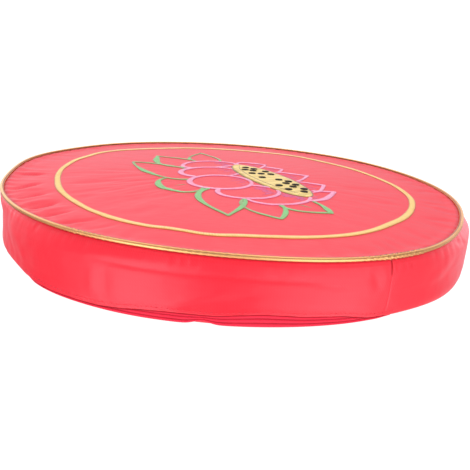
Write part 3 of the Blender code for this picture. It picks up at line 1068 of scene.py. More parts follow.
@dataclass(frozen=True)
class SatinStitch:
    """Rows of thread laid side by side over a line, as a machine embroiders it."""

    cover: Cover
    thickness: float = 0.9 * MM
    edge_share: float = 0.35  # thickness at the two edges, as a share of the middle's
    pitch: float = 1.3 * MM  # three or four threads together, so that they show
    ridge: float = 0.14  # depth between them, as a share of the thickness
    lean: float = 0.45  # slant of the threads, in pitches from the middle to an edge
    across: int = 9
    contrast: float = 0.5  # how much the bundles' own tones differ
    edge: float = 0.85  # painted shade: how much darker both edges are
    edge_power: float = 5.0  # the lower, the further in from the edges that painted shade goes
    gap: float = 0.2  # painted shade: how much darker the gaps between bundles are
    full: float = 3.0 * MM  # width under which a band is thinner
    least: float = 0.25  # share of the thickness that the narrowest keeps
    sunk: float = 0.15 * MM  # how far the back is in the cloth
    uv_width: float = 5 * MM

    def band(self, path: Array, width: Array, closed: bool, seed: int) -> Patch:
        """Lay a domed band of threads along a line on the top panel.

        Across it the height is a circle's arc on a low step. Along it the height has a cosine for
        each bundle of threads, whose slant follows the place across. The back is just in the cloth.

        Args:
            path: Plan places along the line, before the panel settles.
            width: Full width at each place.
            closed: Whether the line joins up with itself.
            seed: Seed for the bundles' own tones.

        Returns:
            A closed patch whose tone says how much light each bundle gives back, less the shade painted
            at both edges and in the gaps between bundles.
        """
        if closed:
            forward = np.roll(path, -1, 0) - np.roll(path, 1, 0)
        else:
            forward = np.gradient(path, axis=0)
        forward /= np.maximum(np.linalg.norm(forward, axis=1, keepdims=True), 1e-12)
        sideways = np.stack((-forward[:, 1], forward[:, 0]), -1)
        steps = np.linalg.norm(np.diff(path, axis=0, append=path[:1]), axis=1)
        along = np.concatenate(([0.0], np.cumsum(steps)))
        if closed:
            along = along * (round(along[-1] / self.pitch) * self.pitch / along[-1])
        place = along[:-1]
        front = np.linspace(-1.0, 1.0, self.across)
        c = np.concatenate((front, [0.6, 0.0, -0.6]))
        on_back = np.arange(len(c)) >= self.across
        plan = path[:, None] + sideways[:, None] * (c * 0.5)[:, None] * width[:, None, None]
        turn = place[:, None] / self.pitch + self.lean * c
        dome = self.edge_share + (1.0 - self.edge_share) * np.sqrt(np.clip(1.0 - c ** 2, 0.0, 1.0))
        narrow = np.clip(width / self.full, self.least, 1.0)[:, None]
        height = self.thickness * narrow * dome * (1.0 + self.ridge * np.cos(TURN * turn))
        lift = np.where(on_back, -self.sunk, height)
        points = self.cover.on_panel(plan, lift)
        bundles = int(np.ceil(turn.max())) + 2
        chance = np.random.default_rng(seed)
        own = chance.uniform(0.0, 1.0, bundles + 2)[np.floor(turn).astype(int) % bundles]
        # painted shade at both edges and in the gaps between bundles, over each bundle's own tone
        between = (0.5 - 0.5 * np.cos(TURN * turn)) ** 3
        tone = (1.0 - self.contrast * own) * (1.0 - self.edge * np.abs(c) ** self.edge_power)
        tone = tone * (1.0 - self.gap * between)
        around = np.append(c, c[0]) * 0.5 * self.uv_width
        uv = np.stack(np.meshgrid(along if closed else place, around, indexing="ij"), -1)
        return Patch(points, uv, tone, closed_along=closed)


@dataclass(frozen=True)
class StitchedRing:
    """Gold satin-stitch ring on the top panel, drawn by hand and so not quite round."""

    cover: Cover
    width: float = 5.2 * MM
    wider: float = 3.2 * MM  # how much wider it is sewn at the back
    bolder: float = 0.8 * MM  # and at the front right
    bold_bearing: float = -30.0
    bold_spread: float = 0.5  # radians
    step: float = 0.32 * MM
    drawn: tuple[Pair, ...] = (  # bearing in degrees, radius in mm
        (-176, 158.2), (-168, 157.8), (-160, 157.2), (-152, 158.0), (-144, 158.9), (-136, 160.2),
        (-128, 162.8), (-120, 164.4), (-112, 165.9), (-108, 165.8), (-104, 164.3), (-100, 164.7),
        (-96, 166.3), (-92, 165.6), (-88, 163.2), (-84, 162.2), (-80, 161.7), (-72, 161.6),
        (-64, 160.8), (-56, 159.8), (-48, 158.3), (-40, 157.4), (-32, 158.9), (-24, 159.9),
        (-16, 160.2), (-8, 160.0), (0, 158.1), (8, 156.3), (16, 154.3), (24, 153.6), (32, 154.0),
        (40, 153.5), (48, 152.9), (56, 155.4), (64, 159.8), (72, 159.6), (80, 156.8), (88, 156.3),
        (96, 156.7), (104, 157.1), (112, 156.8), (120, 156.0), (128, 156.6), (136, 159.6),
        (144, 163.9), (152, 163.9), (160, 160.1), (168, 158.6), (176, 157.6),
    )

    def build(self, material: Material) -> Object:
        """Lay satin stitch along the drawn line, its width swaying by two small sines.

        Args:
            material: Gold embroidery thread.

        Returns:
            The ring.
        """
        places, radii = np.array(self.drawn).T
        count = int(TURN * float(radii.mean()) * MM / self.step)
        bearing = np.linspace(-math.pi, math.pi, count, endpoint=False)
        path = flat_place(Ground.PANEL, bearing, through(np.radians(places), radii, bearing) * MM)
        width = self.width * (1.0 + 0.05 * np.sin(9 * bearing + 1.0) + 0.03 * np.sin(23 * bearing))
        width = width + self.wider * np.clip(np.sin(bearing), 0.0, 1.0) ** 2
        away = bearing - math.radians(self.bold_bearing)
        width = width + self.bolder * bell(away / self.bold_spread)
        # painted shade at the ring's two edges and in the gaps between bundles
        stitch = SatinStitch(
            self.cover, thickness=0.8 * MM, pitch=1.8 * MM, across=11, lean=0.2, contrast=0.15,
            edge=0.9, edge_power=3.0, gap=0.5, edge_share=0.2)
        patch = stitch.band(path, width, True, seed=21)
        return make_piece("stitched_ring_thread", [patch], material,
                          ("stitched_ring",))


@dataclass(frozen=True)
class FoldStitches:
    """Row of machine stitches that holds the zip's upper tape behind the band's fold."""

    cover: Cover
    above: float = 2.2 * MM  # over the edge of the fold
    length: float = 2.5 * MM
    space: float = 0.8 * MM
    width: float = 0.5 * MM
    height: float = 0.16 * MM

    def build(self, material: Material) -> Object:
        """Lay one small pillow of thread for each stitch, its ends going down into the cloth.

        Its section is an ellipse, whose size is the square root of a sine of the place along it.

        Args:
            material: Red sewing thread.

        Returns:
            The row of stitches.
        """
        cover = self.cover
        radius = cover.band_seam_radius + cover.band_bulge
        pitch = (self.length + self.space) / radius
        start, end = math.radians(cover.zip_start), math.radians(cover.zip_end)
        starts = np.arange(start, end, pitch)[:, None, None]
        share = np.linspace(0.03, 0.97, 5)[None, :, None]
        turn = np.linspace(0.0, TURN, 6, endpoint=False)[None, None, :]
        swell = np.sqrt(np.sin(math.pi * share))
        bearing = starts + share * self.length / radius + 0.0 * turn
        height = cover.fold_high + self.above + 0.5 * self.width * swell * np.cos(turn) + 0.0 * starts
        lift = self.height * (swell * np.sin(turn) + 1.6 * swell - 1.3) + 0.0 * starts
        points = cover.on_band(bearing, height, lift)
        uv = np.stack(np.meshgrid(np.linspace(0.0, self.length, 5), np.linspace(0.0, 2 * self.width, 7),
                                  indexing="ij"), -1)
        # painted shade at each stitch's two ends, where it goes down into the cloth
        tone = np.broadcast_to(0.4 + 0.6 * np.sin(math.pi * share[0]), (5, 6))
        patches = [Patch(place, uv, tone) for place in points]
        return make_piece("fold_stitches", patches, material)


class Layer(Enum):
    """Order of the lotus's petals and leaves, the lowest number in front. The pod is before them all."""

    FRONT = 1
    INNER = 2
    OUTER = 3
    BACK = 4
    BEHIND = 5
    LEAF = 6
    LOW_LEAF = 7


@dataclass(frozen=True)
class Petal:
    """One petal or leaf of the drawing, in the flower's own plane: mm up it, then mm to its left.

    Half its width at a share s of its length is s to the power of root times (1 - s) to the power
    of tip, scaled to the width: a half power makes a round end, one or more a pointed one. Places
    on its outline are shares of the walk from its root by its left side to the tip and back.
    """

    layer: Layer
    root: Pair
    tip: Pair
    width: float
    root_power: float
    tip_power: float
    line: float  # width of its stitched outline, mm
    widest: float  # width where its stitches are longest, mm
    wide: tuple[tuple[float, ...], ...] = ((0.5, 0.14),)  # where, its spread, its share
    bend: float = 0.0  # how far its middle line bows to its left, mm
    shade: int = 0  # stitches of darker thread fanning out from its root
    vein: float = 0.0  # share of its length that a stitched middle line takes

    def axis(self) -> tuple[Array, Array, float]:
        """Root, unit vector to the tip, and length, in metres."""
        root, tip = np.array(self.root) * MM, np.array(self.tip) * MM
        length = float(np.hypot(*(tip - root)))
        return root, (tip - root) / length, length

    def half_width(self, share: Array) -> Array:
        """Half the petal's width at a share of its length."""
        s = np.clip(share, 0.0, 1.0)
        peak = self.root_power / (self.root_power + self.tip_power)
        top = peak ** self.root_power * (1.0 - peak) ** self.tip_power
        return 0.5 * self.width * MM * s ** self.root_power * (1.0 - s) ** self.tip_power / top

    def place(self, share: Array, across: Array) -> Array:
        """Places in the flower's plane, from a share of the length and metres to the left of it."""
        root, forward, length = self.axis()
        left = np.array([-forward[1], forward[0]])
        bow = self.bend * MM * 4.0 * share * (1.0 - share)
        return root + share[..., None] * length * forward + (across + bow)[..., None] * left

    def holds(self, places: Array, margin: float) -> Marks:
        """Tell which places of the flower's plane lie inside the outline, or within a margin of it.

        Args:
            places: Places in that plane.
            margin: The margin.

        Returns:
            True where they do.
        """
        root, forward, length = self.axis()
        away = places - root
        share = away @ forward / length
        left = np.array([-forward[1], forward[0]])
        across = away @ left - self.bend * MM * 4.0 * share * (1.0 - share)
        inside = (share > 0.0) & (share < 1.0)
        return inside & (np.abs(across) < self.half_width(share) + margin)

    def outline(self, step: float) -> Array:
        """Walk round the outline in even steps, from the root by the left side to the tip and back.

        Args:
            step: Distance between two places.

        Returns:
            Places in the flower's plane.
        """
        t = np.linspace(0.0, math.pi, 400)
        share = 0.5 - 0.5 * np.cos(t)
        half = self.half_width(share)
        walk = np.vstack((self.place(share, half), self.place(share[::-1], -half[::-1])[1:-1]))
        along = np.concatenate(([0.0], np.cumsum(np.hypot(*np.diff(walk, axis=0).T))))
        even = np.arange(0.0, along[-1], step)
        return np.stack([np.interp(even, along, walk[:, axis]) for axis in (0, 1)], -1)


PETALS = (  # the front petal and the two beside it
    Petal(Layer.FRONT, (12, -8), (-44.5, -8), 48.5, 0.5, 0.5, 3.4, 5.0, shade=6),
    Petal(Layer.INNER, (22, 30), (-36.5, 28), 40, 0.5, 0.5, 3.3, 5.2, shade=6),
    Petal(Layer.INNER, (19, -43), (-35.5, -43.5), 40, 0.5, 0.5, 3.2, 4.2, ((0.62, 0.16),), shade=14),
    # at the two sides
    Petal(Layer.OUTER, (36, 61), (-21.5, 56), 30, 0.5, 0.5, 3.2, 5.2, ((0.40, 0.12),), -4, shade=8),
    Petal(Layer.OUTER, (38, -62), (-21, -66), 37, 0.5, 0.5, 3.2, 5.6, ((0.92, 0.10),), shade=18),
    # pointed, behind the pod, from the left to the right
    Petal(Layer.BACK, (36, 47), (67, 50), 30, 0.6, 1.1, 3.0, 4.6, ((0.40, 0.10),), 2, shade=6),
    Petal(Layer.BEHIND, (36, 25), (73, 27), 35, 0.6, 1.1, 2.8, 4.2, ((0.42, 0.10),), 2, shade=6),
    Petal(Layer.BACK, (36, -6), (82.5, -4), 38, 0.6, 1.1, 2.8, 4.4, ((0.44, 0.10),), 2, shade=8),
    Petal(Layer.BEHIND, (36, -37), (75, -39), 35, 0.6, 1.1, 2.8, 4.2, ((0.44, 0.10),), -2, shade=6),
    Petal(Layer.BEHIND, (16, -64), (71, -60), 28, 0.6, 1.2, 3.2, 5.4, ((0.66, 0.12),), -2, shade=8),
    # leaves, from the far right round the foot to the left
    Petal(Layer.LEAF, (4, -68), (27, -108), 36, 0.7, 1.0, 2.8, 6.0, ((0.44, 0.06),), vein=0.3),
    Petal(Layer.LEAF, (-16, -60), (-22, -112), 32, 0.7, 1.0, 2.6, 3.9, ((0.38, 0.12),)),
    Petal(Layer.LEAF, (-30, -26), (-56, -96), 37, 0.7, 1.1, 2.8, 5.2,
          ((0.80, 0.11, 1.0), (0.36, 0.09, 0.4)), 1),
    Petal(Layer.LOW_LEAF, (-36, -7), (-73, -7), 51, 0.6, 0.6, 2.6, 6.2, ((0.5, 0.13),), vein=0.3),
    Petal(Layer.LEAF, (-37, 8), (-60, 90), 40, 0.55, 0.9, 2.6, 6.0, ((0.27, 0.07),), -3),
    Petal(Layer.LEAF, (-14, 52), (-25, 115), 41, 0.7, 1.2, 2.5, 6.5, ((0.35, 0.10),)),
    Petal(Layer.LOW_LEAF, (12, 70), (30, 126), 31, 0.5, 1.2, 2.4, 5.5, ((0.14, 0.05),), 2),
)


@dataclass(frozen=True)
class Lotus:
    """Stitched lotus: satin-stitch outlines, shaded petal roots, a filled pod with seeds, leaves."""

    cover: Cover
    middle: Pair = (-2.0, -13.0)  # mm from the middle of the panel
    turn: float = 30.5  # bearing of the flower's upright, degrees
    step: float = 0.32 * MM
    heavy: float = 1.12  # all outlines against the widths named for the petals
    sway: float = 0.15  # how much their widths sway
    clear: float = 0.6 * MM  # how far an outline stops short of what covers it
    shortest: float = 4 * MM  # of the runs that are stitched
    taper: float = 3 * MM  # over which a run's ends are drawn to a point
    blunt: float = 0.35  # share of its width left there
    leaf_full: Pair = (2.2 * MM, 3.8 * MM)  # widths from which and at which a leaf is green
    vein_width: float = 1.3 * MM
    vein_start: float = 0.35  # share of a leaf's length
    shading_width: float = 0.8 * MM
    shading_reach: Pair = (5.0, 13.0)  # mm, shortest and longest
    pod_middle: Pair = (35.8, -6.5)  # mm up the flower and to its left
    pod_half_length: float = 61.0
    pod_half_width: float = 20.4
    seed_half_length: float = 3.6  # mm
    seed_width: float = 6.5 * MM
    seed_rows: tuple[tuple[float, tuple[float, ...]], ...] = (  # mm up the flower, and places to its left
        (46.5, (18.0, 7.0, -21.5, -34, -47.5)),
        (40.8, (31, -14, -27.5, -39.5, -54)),
        (37.0, (39.5, 24, 10.5)),
        (30.0, (30.5, 14, -2.5, -32.5, -45.5)),
    )
    petals: tuple[Petal, ...] = PETALS

    def on_plan(self, places: Array) -> Array:
        """Turn places of the flower's plane into plan places on the panel."""
        angle = math.radians(self.turn)
        up = np.array([math.cos(angle), math.sin(angle)])
        left = np.array([-up[1], up[0]])
        return np.array(self.middle) * MM + places[..., :1] * up + places[..., 1:] * left

    def in_pod(self, places: Array, margin: float) -> Marks:
        """Tell which places of the flower's plane the pod covers."""
        u = (places[..., 0] - self.pod_middle[0] * MM) / (self.pod_half_width * MM + margin)
        v = (places[..., 1] - self.pod_middle[1] * MM) / (self.pod_half_length * MM + margin)
        return u * u + v * v < 1.0

    def hidden(self, places: Array, layer: Layer, margin: float) -> Marks:
        """Tell which places the parts in front of a layer cover.

        Args:
            places: Places in the flower's plane.
            layer: The layer that they are on.
            margin: How far beyond the front parts' outlines cover them.

        Returns:
            True where something in front is stitched.
        """
        covered = self.in_pod(places, margin)
        for petal in self.petals:
            if petal.layer.value < layer.value:
                covered |= petal.holds(places, margin)
        return covered

    def line_width(self, petal: Petal, count: int, seed: int) -> Array:
        """Width of an outline: its own, swaying by seeded waves, and bells up to its widest.

        Args:
            petal: The petal.
            count: Number of places round its outline.
            seed: Seed for the waves.

        Returns:
            Width at each place.
        """
        chance = np.random.default_rng(seed)
        t = np.linspace(0.0, TURN, count, endpoint=False)
        wave = sum(np.sin(n * t + chance.uniform(0, TURN)) for n in (2, 3, 5)) / 3.0
        swell = sum((share[0] if share else 1.0) * bell(wrapped(t - TURN * place) / (TURN * spread))
                    for place, spread, *share in petal.wide)
        more = (petal.widest - petal.line) * np.clip(swell, 0.0, 1.0)
        width = petal.line * (1.0 + self.sway * wave) + more
        return self.heavy * width * MM

    def tapered(self, count: int, blunt: float, over: float) -> Array:
        """Shares of a run's width: a least share at its two ends, and one from some way in."""
        reach = np.minimum(np.arange(count), np.arange(count)[::-1]) * self.step
        return blunt + (1.0 - blunt) * smooth_step(reach / over)

    def outlines(self, layers: tuple[Layer, ...], seed: int) -> list[Patch]:
        """Stitch the parts of each outline that nothing in front covers.

        Args:
            layers: Layers to stitch.
            seed: First seed.

        Returns:
            One patch for each run of stitches, its ends drawn to a point.
        """
        patches = []
        stitch = SatinStitch(self.cover, thickness=0.75 * MM)
        for number, petal in enumerate(self.petals):
            if petal.layer not in layers:
                continue
            walk = petal.outline(self.step)
            width = self.line_width(petal, len(walk), seed + number)
            seen = ~self.hidden(walk, petal.layer, self.clear)
            if seen.all():
                runs = [np.arange(len(walk))]
            else:
                first = int(np.flatnonzero(~seen)[0])
                order = (np.arange(len(walk)) + first) % len(walk)
                marks = np.flatnonzero(np.diff(np.concatenate(([0], seen[order], [0]))))
                runs = [order[a:b] for a, b in marks.reshape(-1, 2)]
            for run in runs:
                if len(run) * self.step < self.shortest:
                    continue
                whole = len(run) == len(walk)
                taper = 1.0 if whole else self.tapered(len(run), self.blunt, self.taper)
                patch = stitch.band(self.on_plan(walk[run]), width[run] * taper, whole,
                                    seed + 40 + number)
                if petal.layer in (Layer.LEAF, Layer.LOW_LEAF):
                    thin, thick = self.leaf_full
                    full = smooth_step((width[run] - thin) / (thick - thin))[:, None]
                    patch.tone = patch.tone * 0.5 + 0.5 * full * (patch.tone > 0.12)
                patches.append(patch)
        return patches

    def single_stitches(self, ends: list[tuple[Array, Array]], width: float, seed: int) -> list[Patch]:
        """Lay single stitches of thread between pairs of places of the flower's plane.

        Args:
            ends: The two ends of each stitch.
            width: Width of a stitch.
            seed: First seed of their tones.

        Returns:
            One small patch for each stitch, a few dozen faces.
        """
        stitch = SatinStitch(self.cover, thickness=0.55 * MM, ridge=0.0, across=5)
        patches = []
        for number, (start, end) in enumerate(ends):
            share = np.linspace(0.0, 1.0, 8)[:, None]
            path = self.on_plan(start + (end - start) * share)
            pinch = 0.35 + 0.65 * np.sqrt(np.sin(math.pi * np.clip(share[:, 0], 0.02, 0.98)))
            patches.append(stitch.band(path, width * pinch, False, seed + number))
        return patches

    def shading(self) -> list[Patch]:
        """Fan long and short stitches out from the petals' roots, where nothing in front covers them.

        Returns:
            One patch for each stitch.
        """
        chance = np.random.default_rng(31)
        ends = []
        for petal in self.petals:
            for number in range(petal.shade):
                side = -0.82 + 1.64 * (number + chance.uniform(0.2, 0.8)) / petal.shade
                begin = chance.uniform(0.05, 0.16)
                length = chance.uniform(0.14, 0.34) * (1.0 - 0.35 * abs(side))
                shares = np.linspace(begin, min(begin + length + 0.2, 0.85), 24)
                line = petal.place(shares, side * petal.half_width(shares) * 0.9)
                seen = ~self.hidden(line, petal.layer, 1.0 * MM)
                if not seen.any():
                    continue
                first = int(np.flatnonzero(seen)[0])
                reach = chance.uniform(*self.shading_reach) * MM / petal.axis()[2]
                both = np.array([shares[first], min(shares[first] + reach, 0.9)])
                two = petal.place(both, side * petal.half_width(both) * 0.9)
                if not self.hidden(two, petal.layer, 0.8 * MM).any():
                    ends.append((two[0], two[1]))
        return self.single_stitches(ends, self.shading_width, 300)

    def veins(self) -> list[Patch]:
        """Stitch thin broken middle lines in the leaves.

        Returns:
            One patch for each line.
        """
        patches = []
        stitch = SatinStitch(self.cover, thickness=0.5 * MM)
        for number, petal in enumerate(self.petals):
            if petal.vein <= 0.0:
                continue
            end = self.vein_start + petal.vein
            shares = np.arange(self.vein_start, end, self.step / petal.axis()[2])
            line = petal.place(shares, np.zeros_like(shares))
            seen = ~self.hidden(line, petal.layer, 1.0 * MM)
            if seen.sum() * self.step < 5 * MM:
                continue
            run = line[seen]
            width = self.vein_width * self.tapered(len(run), 0.3, 4 * MM)
            patch = stitch.band(self.on_plan(run), width, False, 500 + number)
            patch.tone = patch.tone * 0.3
            patches.append(patch)
        return patches

    def pod(self) -> list[Patch]:
        """Fill the pod: one band of threads as wide as an ellipse along its long axis."""
        share = np.sin(np.linspace(-math.pi / 2 + 0.02, math.pi / 2 - 0.02, 420))
        path = (np.array(self.pod_middle) + np.outer(share, (0.0, self.pod_half_length))) * MM
        width = 2.0 * self.pod_half_width * MM * np.sqrt(1.0 - share ** 2)
        # edge: painted shade round the rim of the pod's fill
        stitch = SatinStitch(self.cover, thickness=0.75 * MM, lean=1.6, across=15, contrast=0.9,
                             edge=0.5)
        return [stitch.band(self.on_plan(path), width, False, 600)]

    def ellipse(self, up: float, half_length: float, half_width: float,
                start: float, end: float) -> Array:
        """Walk along an ellipse near the pod's edge.

        Args:
            up: How far up the flower its middle is from the pod's, mm.
            half_length: Half its length, mm.
            half_width: Half its width, mm.
            start: Where it starts, degrees from the way up the flower.
            end: Where it ends.

        Returns:
            Places in the flower's plane.
        """
        size = math.radians(abs(end - start)) * half_length * MM
        t = np.radians(np.linspace(start, end, max(int(size / self.step), 12)))
        return np.stack((self.pod_middle[0] + up + half_width * np.cos(t),
                         self.pod_middle[1] + half_length * np.sin(t)), -1) * MM

    def pod_lines(self) -> list[Patch]:
        """Stitch the thin dark line round the pod, and the one between its side and its face."""
        rim = self.ellipse(0.0, self.pod_half_length + 0.4, self.pod_half_width + 0.4, 0, 359.5)
        side = self.ellipse(5.0, self.pod_half_length - 4.0, self.pod_half_width - 1.5, 108, 246)
        rim_stitch = SatinStitch(self.cover, thickness=0.6 * MM, ridge=0.08)
        side_stitch = SatinStitch(self.cover, thickness=2.2 * MM, ridge=0.08)
        return [rim_stitch.band(self.on_plan(rim), np.full(len(rim), 1.2 * MM), True, 620),
                side_stitch.band(self.on_plan(side), np.full(len(side), 1.1 * MM), False, 621)]

    def seeds(self) -> list[Patch]:
        """Stitch the seeds as short fat bundles in loose rows on the pod's face.

        Returns:
            One patch for each seed.
        """
        chance = np.random.default_rng(77)
        patches = []
        stitch = SatinStitch(self.cover, thickness=1.35 * MM, ridge=0.05, across=7, edge_share=0.7)
        share = np.sin(np.linspace(-1.45, 1.45, 9))
        for up, places in self.seed_rows:
            for left in places:
                middle = np.array([up, left]) + chance.uniform(-0.8, 0.8, 2)
                lean = math.radians(chance.uniform(-15, 15) - 15)
                along = np.array([math.cos(lean), math.sin(lean)])
                path = (middle + self.seed_half_length * share[:, None] * along) * MM
                width = self.seed_width * np.sqrt(1.0 - share ** 2)
                patches.append(stitch.band(self.on_plan(path), width, False, 700 + len(patches)))
        return patches

    def build(self, threads: "Threads") -> None:
        """Stitch the whole flower, one piece for each colour of thread.

        Args:
            threads: The colours.
        """
        petals = (Layer.FRONT, Layer.INNER, Layer.OUTER, Layer.BACK, Layer.BEHIND)
        make_piece("lotus_petal_outlines", self.outlines(petals, 100), threads.pink.material())
        leaves = self.outlines((Layer.LEAF, Layer.LOW_LEAF), 200) + self.veins()
        make_piece("lotus_leaf_outlines", leaves, threads.green.material())
        make_piece("lotus_petal_shading", self.shading(), threads.magenta.material())
        make_piece("lotus_pod", self.pod(), threads.yellow.material())
        make_piece("lotus_pod_lines", self.pod_lines(), threads.olive.material())
        make_piece("lotus_seeds", self.seeds(), threads.black.material())


def add_node(tree: Tree, kind: str, inputs: dict[str | int, object] | None = None,
             **settings: object) -> Node:
    """Add a shader node with its settings, values and links.

    Args:
        tree: Tree that it goes in.
        kind: Its type name.
        inputs: A value or another node's output for each named or numbered input.
        **settings: Its own properties.

    Returns:
        The node.
    """
    made = tree.nodes.new(kind)
    for name, value in settings.items():
        setattr(made, name, value)
    for name, value in (inputs or {}).items():
        if isinstance(value, Socket):
            tree.links.new(value, made.inputs[name])
        else:
            made.inputs[name].default_value = value
    return made


def emptied(owner: Material | bpy.types.World) -> Adder:
    """Clear the nodes of a material or a world, and give what adds one to it."""
    owner.use_nodes = True
    owner.node_tree.nodes.clear()
    return partial(add_node, owner.node_tree)


def blend(add: Adder, dark: str, light: str | Socket, by: Socket | None = None) -> Socket:
    """Mix a dark colour with a light one.

    Args:
        add: What adds nodes to the tree.
        dark: Colour where the share is nought.
        light: Colour where it is one, or the output of another node.
        by: The share, or nothing for the surface's own tone.

    Returns:
        The mixed colour.
    """
    if by is None:
        by = add("ShaderNodeAttribute", attribute_name="tone").outputs["Fac"]
    other = linear(light) if isinstance(light, str) else light
    return add("ShaderNodeMix", {0: by, 6: linear(dark), 7: other}, data_type="RGBA").outputs[2]


@dataclass(frozen=True)
class RedSatin:
    """Polyester satin, woven and left glossy: a strong red that turns pink where it is seen on edge."""

    light: str = "#F8293B"
    deep: str = "#EE2133"
    seam: str = "#7A1410"  # painted shade beside the piping and on the pinched top of the band's join
    roughness: float = 0.35
    gloss_along: float = 0.9  # how far the long floats draw a highlight out along themselves
    weave: float = 0.9 * MM  # coarser than the real 0.15 mm floats, so that it shows
    rib: float = 1.9 * MM  # the warp's own stripes, also drawn coarse
    slub: Pair = (3 * MM, 60 * MM)  # thickness and length of the yarns' thick places
    crumple: float = 14 * MM  # size of the soft unevenness left by handling
    crumple_depth: float = 0.35 * MM
    slub_depth: float = 0.10 * MM
    weave_depth: float = 0.02 * MM

    def material(self) -> Material:
        """Build the satin: slubs in colour and height, a fine twill bump, and painted shade at the seams.
        """
        material = bpy.data.materials.new("red_polyester_satin")
        add = emptied(material)
        uv = add("ShaderNodeUVMap", uv_map="cloth").outputs["UV"]
        slubs = add("ShaderNodeMapping", {
            "Vector": uv, "Rotation": (0.0, 0.0, math.radians(12)),
            "Scale": (1.0 / self.slub[1], 1.0 / self.slub[0], 1.0)}).outputs["Vector"]
        slub = add("ShaderNodeTexNoise", {
            "Vector": slubs, "Scale": 1.0, "Detail": 3.0, "Roughness": 0.6}).outputs["Fac"]
        ribs = add("ShaderNodeTexWave", {
            "Vector": uv, "Scale": WAVE_PERIOD / self.rib, "Distortion": 0.3}).outputs["Fac"]
        depth = add("ShaderNodeMix", {0: 0.3, 2: slub, 3: ribs}).outputs[0]
        # the tone mixes in the painted shade at the seams
        colour = blend(add, self.seam, blend(add, self.light, self.deep, by=depth))
        weave = add("ShaderNodeTexWave", {
            "Vector": uv, "Scale": WAVE_PERIOD / self.weave, "Distortion": 0.6, "Detail": 1.0},
            bands_direction="DIAGONAL").outputs["Fac"]
        soft = add("ShaderNodeTexNoise", {
            "Vector": uv, "Scale": 1.0 / self.crumple, "Detail": 2.0, "Roughness": 0.45}).outputs["Fac"]
        crumple = add("ShaderNodeBump", {
            "Height": soft, "Distance": self.crumple_depth}).outputs["Normal"]
        yarns = add("ShaderNodeBump", {
            "Height": slub, "Distance": self.slub_depth, "Normal": crumple}).outputs["Normal"]
        bumps = add("ShaderNodeBump", {
            "Height": weave, "Distance": self.weave_depth, "Normal": yarns}).outputs["Normal"]
        floats = add("ShaderNodeTangent", direction_type="UV_MAP", uv_map="cloth").outputs[0]
        shader = add("ShaderNodeBsdfPrincipled", {
            "Base Color": colour, "Roughness": self.roughness, "IOR": 1.45, "Normal": bumps,
            "Anisotropic": self.gloss_along, "Anisotropic Rotation": 0.25, "Tangent": floats,
            "Sheen Weight": 0.02, "Sheen Roughness": 0.4, "Sheen Tint": linear("#FFC9CF")})
        add("ShaderNodeOutputMaterial", {"Surface": shader.outputs[0]})
        return material


@dataclass(frozen=True)
class GoldLame:
    """Lamé, cloth woven with metal-coated strip: a metal's gloss broken up by its weave."""

    colour: str = "#FFC684"
    shadow: str = "#D8A05A"
    # painted shade at the seams and in the wrinkles, and the painted dark reflection along the middle
    seam: str = "#743820"
    roughness: float = 0.36
    strip: float = 0.8 * MM  # the real strips are 0.3 mm wide, too fine to show
    strip_depth: float = 0.05 * MM

    def material(self) -> Material:
        """Build the lamé: slanting strips in colour and height over a metal, with painted brown shade
        along its seams and in its wrinkles and a painted dark reflection along its middle.
        """
        material = bpy.data.materials.new("gold_lame_cloth")
        add = emptied(material)
        uv = add("ShaderNodeUVMap", uv_map="cloth").outputs["UV"]
        turned = add("ShaderNodeMapping", {
            "Vector": uv, "Rotation": (0.0, 0.0, math.radians(40))}).outputs["Vector"]
        strips = add("ShaderNodeTexWave", {
            "Vector": turned, "Scale": WAVE_PERIOD / self.strip, "Distortion": 1.2,
            "Detail": 2.0}).outputs["Fac"]
        # the tone mixes in the painted shade and the painted dark reflection
        colour = blend(add, self.seam, blend(add, self.shadow, self.colour, by=strips))
        bump = add("ShaderNodeBump", {
            "Height": strips, "Distance": self.strip_depth}).outputs["Normal"]
        shader = add("ShaderNodeBsdfPrincipled", {
            "Base Color": colour, "Metallic": 0.75, "Roughness": self.roughness, "Normal": bump})
        add("ShaderNodeOutputMaterial", {"Surface": shader.outputs[0]})
        return material


@dataclass(frozen=True)
class ZipTape:
    """Polyester zip tape, close woven and heat set: duller than the satin beside it."""

    colour: str = "#F42E4A"
    knit: str = "#EA2642"
    # painted shade in the valleys between the ribs and under the fold
    valley: str = "#940A1E"
    roughness: float = 0.7
    rib: float = 0.9 * MM  # the real tape's herringbone is 0.4 mm, too fine to show
    rib_depth: float = 0.02 * MM

    def material(self) -> Material:
        """Build the tape: rows of knit in colour and height, with painted shade in the valleys between
        the ribs and under the fold.
        """
        material = bpy.data.materials.new("red_zip_tape")
        add = emptied(material)
        uv = add("ShaderNodeUVMap", uv_map="cloth").outputs["UV"]
        knit = add("ShaderNodeTexWave", {
            "Vector": uv, "Scale": WAVE_PERIOD / self.rib, "Distortion": 0.4}).outputs["Fac"]
        colour = blend(add, self.valley, blend(add, self.knit, self.colour, by=knit))
        bump = add("ShaderNodeBump", {
            "Height": knit, "Distance": self.rib_depth}).outputs["Normal"]
        shader = add("ShaderNodeBsdfPrincipled", {
            "Base Color": colour, "Roughness": self.roughness, "IOR": 1.45, "Specular IOR Level": 0.35,
            "Normal": bump})
        add("ShaderNodeOutputMaterial", {"Surface": shader.outputs[0]})
        return material


